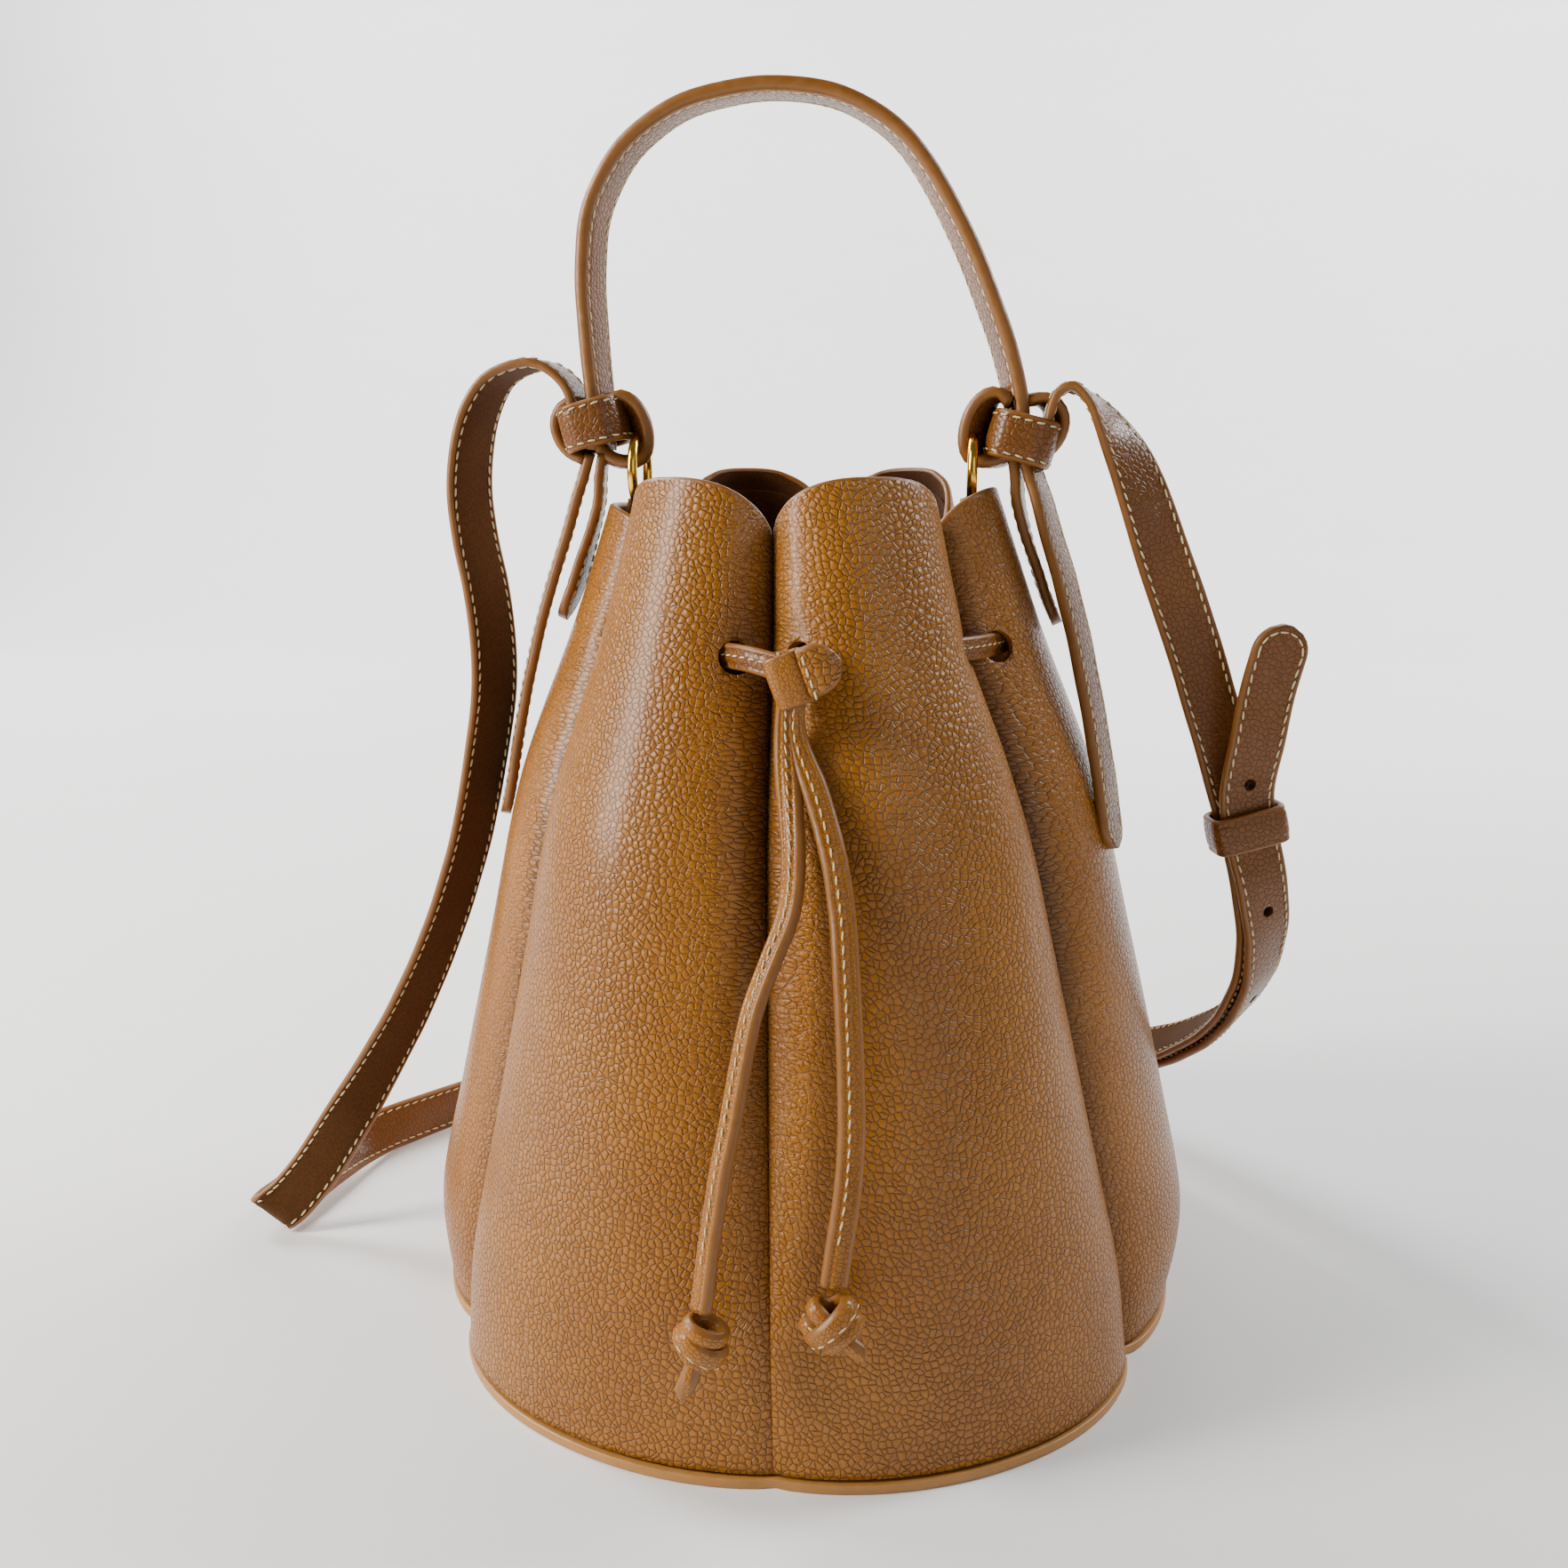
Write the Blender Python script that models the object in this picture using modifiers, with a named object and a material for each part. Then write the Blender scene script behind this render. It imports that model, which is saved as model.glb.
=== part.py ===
"""Leather bucket bag: six bulging wall petals on a round base, closed by a lace at the neck.

A short handle and a long shoulder strap are knotted to two rings at the mouth.
Metres, +Z up. The origin is the centre of the base, on the surface that the bag stands on,
and the front crease faces -Y.
"""
import math

import bmesh
import bpy
import numpy as np
from mathutils import Vector

MM = 0.001
GAP = 0.3 * MM

# ---- driving dimensions -----------------------------------------------------------------
PETALS = 6
PETAL_ANGLE = 2 * math.pi / PETALS
BASE_THICK = 2.6 * MM
FOOT_GAP = 0.9 * MM
WALL_BOTTOM = BASE_THICK + FOOT_GAP
WALL_THICK = 2.2 * MM
LINING_OFFSET = 3.4 * MM
LINING_THICK = 0.8 * MM
CREASE_TOP = 225.0 * MM
PETAL_APEX = 239.5 * MM
SIDE_APEX = 237.0 * MM
LINING_RISE = 16.0 * MM
LINING_DROP = 9.0 * MM

# radius of the petals' bulge against height
BULGE = ((0.0, 0.1165), (0.03, 0.1140), (0.06, 0.1075), (0.11, 0.0958),
         (0.155, 0.0845), (0.20, 0.0670), (0.240, 0.0535))
# how far the creases sit inside the bulge against height
FRONT_CREASE = ((0.0, 0.0030), (0.06, 0.0100), (0.14, 0.0140), (0.20, 0.0165), (0.240, 0.0110))
SIDE_CREASE = ((0.0, 0.0110), (0.06, 0.0130), (0.14, 0.0140), (0.20, 0.0165), (0.240, 0.0110))
MOUTH_LEAN = -2.3 * MM
MOUTH_HEIGHT = 0.240
# the wall turns a little about Z between the base and the mouth
BASE_TWIST = math.radians(2)
MOUTH_TWIST = math.radians(-4)
# the side petals tuck in under themselves at the foot
SIDE_TUCK = 4.5 * MM
TUCK_HEIGHT = 25.0 * MM

LACE_Z = 195.0 * MM
LACE_RADIUS = 59.0 * MM
LACE_WIDTH = 4.8 * MM
LACE_THICK = 1.6 * MM
EYELET_RADIUS = 6.2 * MM
EYELET_T = 0.77

RING_CENTRE_X = -2.0 * MM
RING_X = 47.6 * MM
RING_Z = 240.9 * MM
RING_MAJOR = 10.0 * MM
RING_MINOR = 1.4 * MM

STRAP_WIDTH = 16.0 * MM
STRAP_THICK = 3.0 * MM
HANDLE_WIDTH = 13.6 * MM
HANDLE_THICK = 3.8 * MM
TAIL_THICK = 2.8 * MM
TAIL_DIAMETER = 2.8 * MM
KNOT_CENTRE_X = -1.5 * MM
WRAP_X = 60.5 * MM
WRAP_Z = {"left": 254.0 * MM, "right": 249.5 * MM}
WRAP_INNER = (14.6 * MM, 18.6 * MM)
WRAP_HEIGHT = 13.0 * MM
WRAP_WALL = 2.0 * MM
WRAP_TILT = math.radians(14)

# ---- colours ----------------------------------------------------------------------------
CAMEL = (0.42, 0.20, 0.075)
EDGE_TAN = (0.50, 0.25, 0.10)
SUEDE = (0.10, 0.042, 0.018)
BOARD = (0.25, 0.20, 0.15)
GOLD = (0.83, 0.62, 0.25)

PARTS = "bucket_bag"
CUTTERS = "cutters"


# ---- scene helpers ----------------------------------------------------------------------
def clear_scene():
    for obj in list(bpy.data.objects):
        bpy.data.objects.remove(obj, do_unlink=True)


def collection(name):
    group = bpy.data.collections.get(name)
    if group is None:
        group = bpy.data.collections.new(name)
        bpy.context.scene.collection.children.link(group)
    return group


def material(name, colour, roughness, metallic=0.0):
    mat = bpy.data.materials.new(name)
    mat.use_nodes = True
    shader = mat.node_tree.nodes["Principled BSDF"]
    shader.inputs["Base Color"].default_value = (*colour, 1.0)
    shader.inputs["Roughness"].default_value = roughness
    shader.inputs["Metallic"].default_value = metallic
    return mat


def add_mesh(name, bm, colour, roughness=0.55, metallic=0.0, group=PARTS):
    mesh = bpy.data.meshes.new(name)
    bm.to_mesh(mesh)
    bm.free()
    mesh.shade_smooth()
    mesh.set_sharp_from_angle(angle=math.radians(35))
    obj = bpy.data.objects.new(name, mesh)
    obj.data.materials.append(material(name, colour, roughness, metallic))
    collection(group).objects.link(obj)
    return obj


def adopt(obj):
    """Move an object made by an operator into the parts' collection."""
    for group in list(obj.users_collection):
        group.objects.unlink(obj)
    collection(PARTS).objects.link(obj)


def solidify(obj, thickness, offset):
    mod = obj.modifiers.new("thickness", "SOLIDIFY")
    mod.thickness = thickness
    mod.offset = offset
    mod.use_even_offset = True
    return mod


def bevel(obj, width, segments=1):
    mod = obj.modifiers.new("edges", "BEVEL")
    mod.width = width
    mod.segments = segments
    mod.limit_method = "ANGLE"
    mod.angle_limit = math.radians(50)
    return mod


def cut(obj, cutter):
    cutter.hide_render = True
    cutter.display_type = "WIRE"
    mod = obj.modifiers.new("cut", "BOOLEAN")
    mod.operation = "DIFFERENCE"
    mod.object = cutter
    return mod


def smooth_value(knots, at):
    """Read a smooth curve through (place, value) knots, which are sorted by place."""
    places = [k[0] for k in knots]
    values = [k[1] for k in knots]
    at = min(max(at, places[0]), places[-1])
    i = min(max(int(np.searchsorted(places, at)) - 1, 0), len(places) - 2)
    slope = np.gradient(values, places)
    span = places[i + 1] - places[i]
    u = (at - places[i]) / span
    return ((2 * u**3 - 3 * u**2 + 1) * values[i] + (u**3 - 2 * u**2 + u) * span * slope[i]
            + (3 * u**2 - 2 * u**3) * values[i + 1] + (u**3 - u**2) * span * slope[i + 1])


def smooth_path(points, per_span):
    """A Catmull-Rom curve through rows of numbers, with per_span samples for each span."""
    rows = np.array(points, dtype=float)
    rows = np.vstack([2 * rows[0] - rows[1], rows, 2 * rows[-1] - rows[-2]])
    out = []
    for a, b, c, d in zip(rows, rows[1:], rows[2:], rows[3:]):
        for k in range(per_span):
            u = k / per_span
            out.append(0.5 * (2 * b + (c - a) * u + (2 * a - 5 * b + 4 * c - d) * u**2
                              + (3 * b - a - 3 * c + d) * u**3))
    out.append(rows[-2])
    return np.array(out)


def lean(z):
    return MOUTH_LEAN * (z / MOUTH_HEIGHT) ** 2


def twist(z):
    return BASE_TWIST + (MOUTH_TWIST - BASE_TWIST) * z / MOUTH_HEIGHT


def is_side(petal):
    return petal % (PETALS // 2) == 1


# ---- wall surface -----------------------------------------------------------------------
def wall_point(petal, t, z, seam_gap=GAP):
    """A point of the outer wall. t runs from -1 to 1 across the petal, crease to crease."""
    bulge = smooth_value(BULGE, z)
    if is_side(petal):
        bulge -= SIDE_TUCK * max(1 - z / TUCK_HEIGHT, 0.0) ** 2 * (1 - t * t)
    crease_index = (petal + (1 if t > 0 else 0)) % PETALS
    at_front_or_back = crease_index in (0, PETALS // 2)
    depth = smooth_value(FRONT_CREASE if at_front_or_back else SIDE_CREASE, z)
    radius = bulge - depth * (1 - max(1 - abs(t) ** 2.4, 0.0) ** 0.72)
    half = PETAL_ANGLE / 2 - seam_gap / (2 * radius)
    angle = -math.pi / 2 + (petal + 0.5) * PETAL_ANGLE + t * half + twist(z)
    return Vector((lean(z) + radius * math.cos(angle), radius * math.sin(angle), z))


def wall_inside(petal, t, z, depth):
    """The wall point moved in by depth, square to the surface."""
    step = 0.02
    across = wall_point(petal, min(t + step, 1), z) - wall_point(petal, max(t - step, -1), z)
    up = wall_point(petal, t, z + MM) - wall_point(petal, t, z - MM)
    return wall_point(petal, t, z) - across.cross(up).normalized() * depth


def petal_top(petal, t):
    """Height of the petal's domed top edge."""
    apex = SIDE_APEX if is_side(petal) else PETAL_APEX
    return CREASE_TOP + (apex - CREASE_TOP) * max(1 - abs(t) ** 2.6, 0.0) ** 0.6


def grid_mesh(point_at, columns, rows):
    bm = bmesh.new()
    verts = [[bm.verts.new(point_at(i / columns, j / rows)) for i in range(columns + 1)]
             for j in range(rows + 1)]
    for low, high in zip(verts, verts[1:]):
        for a, b, c, d in zip(low, low[1:], high[1:], high):
            bm.faces.new((a, b, c, d))
    return bm


PETAL_NAMES = ("front_right", "right", "back_right", "back_left", "left", "front_left")


def eyelet_cutters():
    """Round punches, square to the wall, where the lace crosses it."""
    bm = bmesh.new()
    for petal in range(PETALS):
        for side in (-1, 1):
            outer = wall_inside(petal, side * EYELET_T, LACE_Z, -5 * MM)
            inner = wall_inside(petal, side * EYELET_T, LACE_Z, 7 * MM)
            axis = outer - inner
            made = bmesh.ops.create_cone(bm, cap_ends=True, segments=12, radius1=EYELET_RADIUS,
                                         radius2=EYELET_RADIUS, depth=axis.length)
            turn = axis.to_track_quat("Z", "Y").to_matrix()
            bmesh.ops.rotate(bm, verts=made["verts"], matrix=turn, cent=(0, 0, 0))
            bmesh.ops.translate(bm, verts=made["verts"], vec=(outer + inner) / 2)
    return add_mesh("eyelet_cutters", bm, CAMEL, group=CUTTERS)


def build_walls(punches):
    for petal, side in enumerate(PETAL_NAMES):
        def outer(u, v, petal=petal):
            t = math.sin((u - 0.5) * math.pi)
            return wall_point(petal, t, WALL_BOTTOM + v * (petal_top(petal, t) - WALL_BOTTOM))

        def inner(u, v, petal=petal):
            t = 0.88 * math.sin((u - 0.5) * math.pi)
            low = WALL_BOTTOM + LINING_RISE
            return wall_inside(petal, t, low + v * (petal_top(petal, t) - LINING_DROP - low),
                               LINING_OFFSET)

        leather = add_mesh(f"petal_{side}", grid_mesh(outer, 10, 11), CAMEL, 0.5)
        solidify(leather, WALL_THICK, -1)
        cut(leather, punches)
        suede = add_mesh(f"lining_{side}", grid_mesh(inner, 6, 9), SUEDE, 0.9)
        solidify(suede, LINING_THICK, -1)
        cut(suede, punches)


# ---- base -------------------------------------------------------------------------------
def base_disc(name, inset, bottom, thick, colour, roughness):
    """A flat disc that follows the wall's lobed foot, moved in by inset."""
    bm = bmesh.new()
    rim = []
    for petal in range(PETALS):
        for k in range(6):
            t = -1 + 2 * k / 6
            point = wall_point(petal, t, WALL_BOTTOM, seam_gap=0.0)
            flat = Vector((point.x, point.y, 0))
            rim.append(flat - flat.normalized() * inset + Vector((0, 0, bottom)))
    bm.faces.new([bm.verts.new(p) for p in rim])
    disc = add_mesh(name, bm, colour, roughness)
    solidify(disc, thick, 1)
    return disc


def build_base():
    base = base_disc("base_panel", -0.8 * MM, 0.0, BASE_THICK, EDGE_TAN, 0.5)
    bevel(base, 0.5 * MM)
    board_z = WALL_BOTTOM
    base_disc("base_board", 5.0 * MM, board_z, 1.5 * MM, BOARD, 0.9)
    base_disc("base_lining", 5.5 * MM, board_z + 1.5 * MM + GAP, 0.8 * MM, SUEDE, 0.9)


# ---- straps -----------------------------------------------------------------------------
def strap_frames(route, per_span):
    """Place, width direction and face direction along a route.

    Each route row is a point in millimetres and the direction of the strap's width there.
    """
    rows = smooth_path(route, per_span)
    places = rows[:, :3] * MM
    frames = []
    for place, tangent, across in zip(places, np.gradient(places, axis=0), rows[:, 3:]):
        along = Vector(tangent).normalized()
        wide = Vector(across)
        wide = (wide - along * wide.dot(along)).normalized()
        frames.append((Vector(place), wide, along.cross(wide)))
    return frames


def ribbon(name, route, width, thick, colour=CAMEL, per_span=2, shift=0.0, round_ends=(False, False)):
    """A flat strap along a route. round_ends narrow its first and last stretch to a rounded tip."""
    frames = strap_frames(route, per_span)
    places = np.array([place for place, _, _ in frames])
    travelled = np.concatenate([[0], np.cumsum(np.linalg.norm(np.diff(places, axis=0), axis=1))])
    bm = bmesh.new()
    edges = []
    for (place, wide, out), s in zip(frames, travelled):
        half = width / 2
        for is_round, from_end in zip(round_ends, (s, travelled[-1] - s)):
            if is_round and from_end < width / 2:
                half = math.sqrt(max(half**2 - (width / 2 - from_end) ** 2, (0.22 * width) ** 2))
        middle = place + out * shift
        edges.append([bm.verts.new(middle - wide * half), bm.verts.new(middle + wide * half)])
    for low, high in zip(edges, edges[1:]):
        bm.faces.new((low[0], low[1], high[1], high[0]))
    strap = add_mesh(name, bm, colour)
    solidify(strap, thick, 0)
    return strap


def mirrored(route):
    """The same route on the other side of the bag, about the plane between the knots."""
    return [(2 * KNOT_CENTRE_X / MM - x, y, z, -wx, wy, wz) for x, y, z, wx, wy, wz in route]


HANDLE_ROUTE = (
    (-60.6, 0, 247.0, 0.24, 0.97, 0), (-60.8, 0, 262.0, 0.24, 0.97, 0),
    (-62.2, 0, 280.0, 0.27, 0.96, 0), (-62.5, 0, 298.0, 0.27, 0.96, 0),
    (-59.5, 0, 314.0, 0.25, 0.97, 0), (-50.0, 0, 328.5, 0.18, 0.98, 0),
    (-34.0, 0, 338.5, 0.08, 1.00, 0), (-12.0, 0, 342.0, 0.00, 1.00, 0),
    (9.0, 0, 338.5, -0.10, 1.00, 0), (25.5, 0, 327.5, -0.20, 0.98, 0),
    (38.0, 0, 309.0, -0.28, 0.96, 0), (47.0, 0, 290.0, -0.32, 0.95, 0),
    (54.0, 0, 272.0, -0.32, 0.95, 0), (57.2, 0, 259.0, -0.28, 0.96, 0),
    (57.6, 0, 247.0, -0.28, 0.96, 0))

# knot parts on the left, drawn once and mirrored to the right
LOOP_ROUTE = (
    (-53.0, 0, 265.2, -0.1, 1, 0), (-50.4, 0, 263.6, -0.1, 1, 0), (-47.0, 0, 260.0, -0.1, 1, 0),
    (-44.8, 0, 254.8, -0.1, 1, 0), (-44.4, 0, 249.0, -0.1, 1, 0), (-46.0, 0, 244.2, -0.1, 1, 0),
    (-49.5, 0, 242.3, -0.1, 1, 0), (-53.5, 0, 242.2, -0.1, 1, 0))
STUB_ROUTE = (
    (-66.6, 0, 252.5, 0, 1, 0), (-66.8, 0, 258.0, 0, 1, 0), (-68.6, 0, 264.3, 0, 1, 0),
    (-73.5, 0, 269.3, 0, 1, 0), (-80.0, 0, 271.0, 0.05, 1, 0))
LONG_TAIL_ROUTE = (
    (-66.6, 0, 239.2, -0.3, 0.95, 0), (-68.6, 0, 233.5, -0.3, 0.95, 0),
    (-72.6, 0, 221.0, -0.3, 0.95, 0), (-77.4, 0, 207.6, -0.3, 0.95, 0),
    (-82.6, 0, 190.0, -0.3, 0.95, 0), (-87.4, 0, 170.0, -0.3, 0.95, 0),
    (-91.4, 0, 150.0, -0.3, 0.95, 0), (-94.0, 0, 138.5, -0.3, 0.95, 0))
SHORT_TAIL_ROUTE = (
    (-61.2, 0, 239.2, -0.15, 1, 0), (-61.6, 0, 233.0, -0.15, 1, 0), (-64.0, 0, 224.0, -0.1, 1, 0),
    (-67.4, 0, 214.0, 0, 1, 0), (-70.4, 0, 206.0, 0, 1, 0), (-73.8, 0, 198.5, 0, 1, 0))

LONG_STRAP_ROUTE = (
    (-82.6, -0.1, 270.6, 0.05, 1, 0), (-90.0, 0, 267.3, 0.1, 1, 0),
    (-96.0, 0, 259.0, 0.15, 0.98, 0), (-99.5, 0, 248.0, 0.15, 0.98, 0),
    (-100.8, 0, 235.0, 0.2, 0.97, 0), (-99.8, 0, 222.0, 0.27, 0.95, 0),
    (-97.4, 0, 208.0, 0.33, 0.94, 0), (-95.8, 0, 194.0, 0.35, 0.93, 0),
    (-95.9, 0, 178.0, 0.33, 0.94, 0), (-98.2, 0, 163.0, 0.3, 0.95, 0),
    (-101.2, -1, 147.0, 0.28, 0.95, -0.05), (-105.0, -2, 130.0, 0.28, 0.95, -0.1),
    (-110.6, -3, 112.0, 0.32, 0.92, -0.15), (-118.6, -4, 92.0, 0.4, 0.88, -0.2),
    (-128.2, -5, 72.0, 0.5, 0.8, -0.3), (-138.8, -7, 53.0, 0.62, 0.6, -0.4),
    (-148.6, -9, 37.0, 0.74, 0.25, -0.48), (-157.0, -10, 22.0, 0.8, -0.15, -0.45),
    (-164.2, -10, 11.6, 0.8, -0.4, -0.38), (-169.6, -9, 7.6, 0.8, -0.5, -0.34),
    (-171.8, -4, 6.6, 0.85, -0.35, -0.3), (-171.0, 5, 6.6, 0.93, -0.1, -0.33),
    (-168.6, 17, 6.8, 0.88, 0, -0.45))
FLOOR_ROUTE = (
    (-168.4, 17.8, 6.9, 0.88, 0, -0.46), (-165.0, 30, 7.4, 0.7, 0, -0.7),
    (-158.5, 43, 8.6, 0.35, 0, -0.93), (-148.0, 58, 8.8, 0.1, 0, -1),
    (-130.0, 80, 8.8, 0, 0, -1), (-104.0, 102, 8.8, 0, 0, -1),
    (-72.0, 119, 8.8, 0, 0, -1), (-36.0, 128, 9.0, 0, 0, -1),
    (0.0, 131, 10.0, 0, 0, -1), (34.0, 127, 14.0, 0, -0.05, -1),
    (64.0, 117, 21.0, -0.1, -0.15, -0.95))
# the overlap of the two strap lengths, from the back up to the right knot
OVERLAP_ROUTE = (
    (66.5, 115.8, 21.4, 0.1, 0.2, 0.95), (89.0, 98, 28.0, 0.25, 0.45, 0.85),
    (107.0, 76, 38.0, 0.35, 0.65, 0.65), (121.5, 54, 52.0, 0.45, 0.75, 0.45),
    (131.0, 33, 69.0, 0.55, 0.75, 0.3), (135.0, 16, 88.0, 0.65, 0.7, 0.2),
    (134.8, 5, 106.0, 0.78, 0.52, 0.2), (131.8, -1, 122.0, 0.88, 0.35, 0.25),
    (128.0, -2, 137.0, 0.93, 0.25, 0.3))
SHORT_UPPER_ROUTE = (
    (123.4, -2, 151.0, 0.93, 0.2, 0.35), (119.2, -2, 164.0, 0.93, 0.2, 0.37),
    (114.8, -2, 176.7, 0.93, 0.2, 0.37), (109.6, -2, 191.8, 0.93, 0.2, 0.37),
    (103.9, -2, 206.7, 0.92, 0.2, 0.37), (98.4, -1.5, 221.5, 0.9, 0.3, 0.36),
    (93.4, -1, 235.5, 0.85, 0.45, 0.35), (88.6, -0.5, 246.5, 0.7, 0.65, 0.3),
    (83.6, -0.1, 255.3, 0.45, 0.87, 0.2), (78.0, 0, 261.9, 0.2, 1, 0.05))
TONGUE_TIP_ROUTE = (
    (125.0, -3.4, 151.0, 0.95, 0.2, 0.15), (126.4, -6.4, 168.0, 0.97, 0.2, -0.1),
    (128.4, -7.4, 184.0, 0.97, 0.2, -0.2), (131.8, -8.4, 200.0, 0.97, 0.2, -0.25))


KEEPER_CENTRE = (126.5 * MM, -2.2 * MM, 141.0 * MM)
KEEPER_TILT = (0.0, math.radians(-14), math.radians(12))
KEEPER_INNER = (18.4 * MM, 9.6 * MM)
KEEPER_HEIGHT = 11.0 * MM
KEEPER_WALL = 1.5 * MM

# places along the overlap, as the number of half spans from its low end
STUD_PLACE = 4
FREE_HOLE_PLACES = (12, 18)
HOLE_RADIUS = 1.8 * MM
STUD_RADIUS = 1.4 * MM
STUD_HEAD_RADIUS = 3.0 * MM
STUD_HEAD_THICK = 0.8 * MM


def strap_punches(name, frames):
    """Round punches through a strap at the given frames."""
    bm = bmesh.new()
    for place, _, out in frames:
        made = bmesh.ops.create_cone(bm, cap_ends=True, segments=12, radius1=HOLE_RADIUS,
                                     radius2=HOLE_RADIUS, depth=4 * STRAP_THICK)
        turn = out.to_track_quat("Z", "Y").to_matrix()
        bmesh.ops.rotate(bm, verts=made["verts"], matrix=turn, cent=(0, 0, 0))
        bmesh.ops.translate(bm, verts=made["verts"], vec=place)
    return add_mesh(name, bm, CAMEL, group=CUTTERS)


def build_stud(frame, grip):
    """A double-headed stud that holds the two strap layers, grip apart, through their holes."""
    place, _, out = frame
    profile = ((STUD_HEAD_RADIUS, -grip / 2 - STUD_HEAD_THICK), (STUD_HEAD_RADIUS, -grip / 2),
               (STUD_RADIUS, -grip / 2), (STUD_RADIUS, grip / 2),
               (STUD_HEAD_RADIUS, grip / 2), (STUD_HEAD_RADIUS, grip / 2 + STUD_HEAD_THICK))
    bm = bmesh.new()
    loops = [[bm.verts.new((r * math.cos(a), r * math.sin(a), z))
              for a in np.linspace(0, 2 * math.pi, 16, endpoint=False)] for r, z in profile]
    for low, high in zip(loops, loops[1:]):
        for k in range(16):
            n = (k + 1) % 16
            bm.faces.new((low[k], low[n], high[n], high[k]))
    bm.faces.new(loops[0][::-1])
    bm.faces.new(loops[-1])
    stud = add_mesh("strap_stud", bm, GOLD, 0.2, 1.0)
    stud.location = place
    stud.rotation_euler = out.to_track_quat("Z", "Y").to_euler()


def build_handle():
    ribbon("handle_strap", HANDLE_ROUTE, HANDLE_WIDTH, HANDLE_THICK)


def sleeve(name, centre, inner, height, wall, tilt=(0, 0, 0), colour=CAMEL):
    """An open-ended leather band: a rounded-rectangle loop given thickness outwards."""
    bm = bmesh.new()
    half_x, half_y = inner[0] / 2 + wall, inner[1] / 2 + wall
    loops = []
    for z in (-height / 2, height / 2):
        loop = []
        for k in range(20):
            angle = 2 * math.pi * k / 20
            c, s = math.cos(angle), math.sin(angle)
            loop.append(bm.verts.new((half_x * math.copysign(abs(c) ** 0.5, c),
                                      half_y * math.copysign(abs(s) ** 0.5, s), z)))
        loops.append(loop)
    low, high = loops
    for k in range(20):
        n = (k + 1) % 20
        bm.faces.new((low[k], low[n], high[n], high[k]))
    band = add_mesh(name, bm, colour)
    solidify(band, wall, -1)
    band.location = centre
    band.rotation_euler = tilt
    return band


def build_knots():
    for side, name in ((-1, "left"), (1, "right")):
        def routed(route, side=side):
            return route if side < 0 else mirrored(route)

        x = KNOT_CENTRE_X + side * WRAP_X
        sleeve(f"knot_wrap_{name}", (x, 0, WRAP_Z[name]), WRAP_INNER, WRAP_HEIGHT, WRAP_WALL,
               tilt=(0, side * WRAP_TILT, 0))
        ribbon(f"knot_loop_{name}", routed(LOOP_ROUTE), HANDLE_WIDTH, TAIL_THICK)
        ribbon(f"tail_long_{name}", routed(LONG_TAIL_ROUTE), HANDLE_WIDTH, TAIL_THICK,
               round_ends=(False, True))
        ribbon(f"tail_short_{name}", routed(SHORT_TAIL_ROUTE), HANDLE_WIDTH, TAIL_THICK,
               round_ends=(False, True))
    ribbon("strap_stub_left", STUB_ROUTE, STRAP_WIDTH, STRAP_THICK)
    right_stub = mirrored(STUB_ROUTE[:3]) + [(68.6, 0, 266.3, 0, 1, 0), (76.0, 0, 263.5, 0.1, 1, 0)]
    ribbon("strap_stub_right", right_stub, STRAP_WIDTH, STRAP_THICK)


def build_shoulder_strap():
    ribbon("strap_long_hanging", LONG_STRAP_ROUTE, STRAP_WIDTH, STRAP_THICK)
    ribbon("strap_long_floor", FLOOR_ROUTE, STRAP_WIDTH, STRAP_THICK)
    half_step = (STRAP_THICK + 2 * GAP) / 2
    short = ribbon("strap_short", OVERLAP_ROUTE[1:] + SHORT_UPPER_ROUTE, STRAP_WIDTH, STRAP_THICK,
                   shift=half_step)
    tongue = ribbon("strap_tongue", OVERLAP_ROUTE + TONGUE_TIP_ROUTE, STRAP_WIDTH, STRAP_THICK,
                    shift=-half_step, round_ends=(False, True))
    frames = strap_frames(OVERLAP_ROUTE + TONGUE_TIP_ROUTE, 2)
    stud_frame = frames[STUD_PLACE]
    cut(tongue, strap_punches("tongue_punches", [frames[k] for k in (STUD_PLACE, *FREE_HOLE_PLACES)]))
    cut(short, strap_punches("stud_punch", [stud_frame]))
    build_stud(stud_frame, grip=2 * (half_step + STRAP_THICK / 2 + GAP))
    sleeve("strap_keeper", KEEPER_CENTRE, KEEPER_INNER, KEEPER_HEIGHT, KEEPER_WALL, KEEPER_TILT)


# ---- rings and their tabs ---------------------------------------------------------------
def build_rings():
    for side, name in ((-1, "left"), (1, "right")):
        x = RING_CENTRE_X + side * RING_X
        bpy.ops.mesh.primitive_torus_add(major_radius=RING_MAJOR, minor_radius=RING_MINOR,
                                         major_segments=28, minor_segments=8,
                                         location=(x, 0, RING_Z), rotation=(0, math.pi / 2, 0))
        ring = bpy.context.object
        ring.name = f"ring_{name}"
        ring.data.shade_smooth()
        ring.data.materials.append(material(ring.name, GOLD, 0.2, 1.0))
        adopt(ring)

        wire_z = (RING_Z - RING_MAJOR) / MM
        reach = RING_MINOR / MM + 0.7 + 0.6
        bend = [(reach * math.cos(a), reach * math.sin(a)) for a in np.radians([180, 135, 90, 45, 0])]
        route = [(x / MM - side * dx, 0, wire_z + dz, 0, 1, 0) for dx, dz in bend]
        leg_low = wire_z - 20.0
        start = (x / MM + side * reach, 0, leg_low, 0, 1, 0)
        finish = (x / MM - side * reach, 0, leg_low, 0, 1, 0)
        ribbon(f"ring_tab_{name}", [start, *route, finish], 6.4 * MM, 1.2 * MM, colour=SUEDE)


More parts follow.
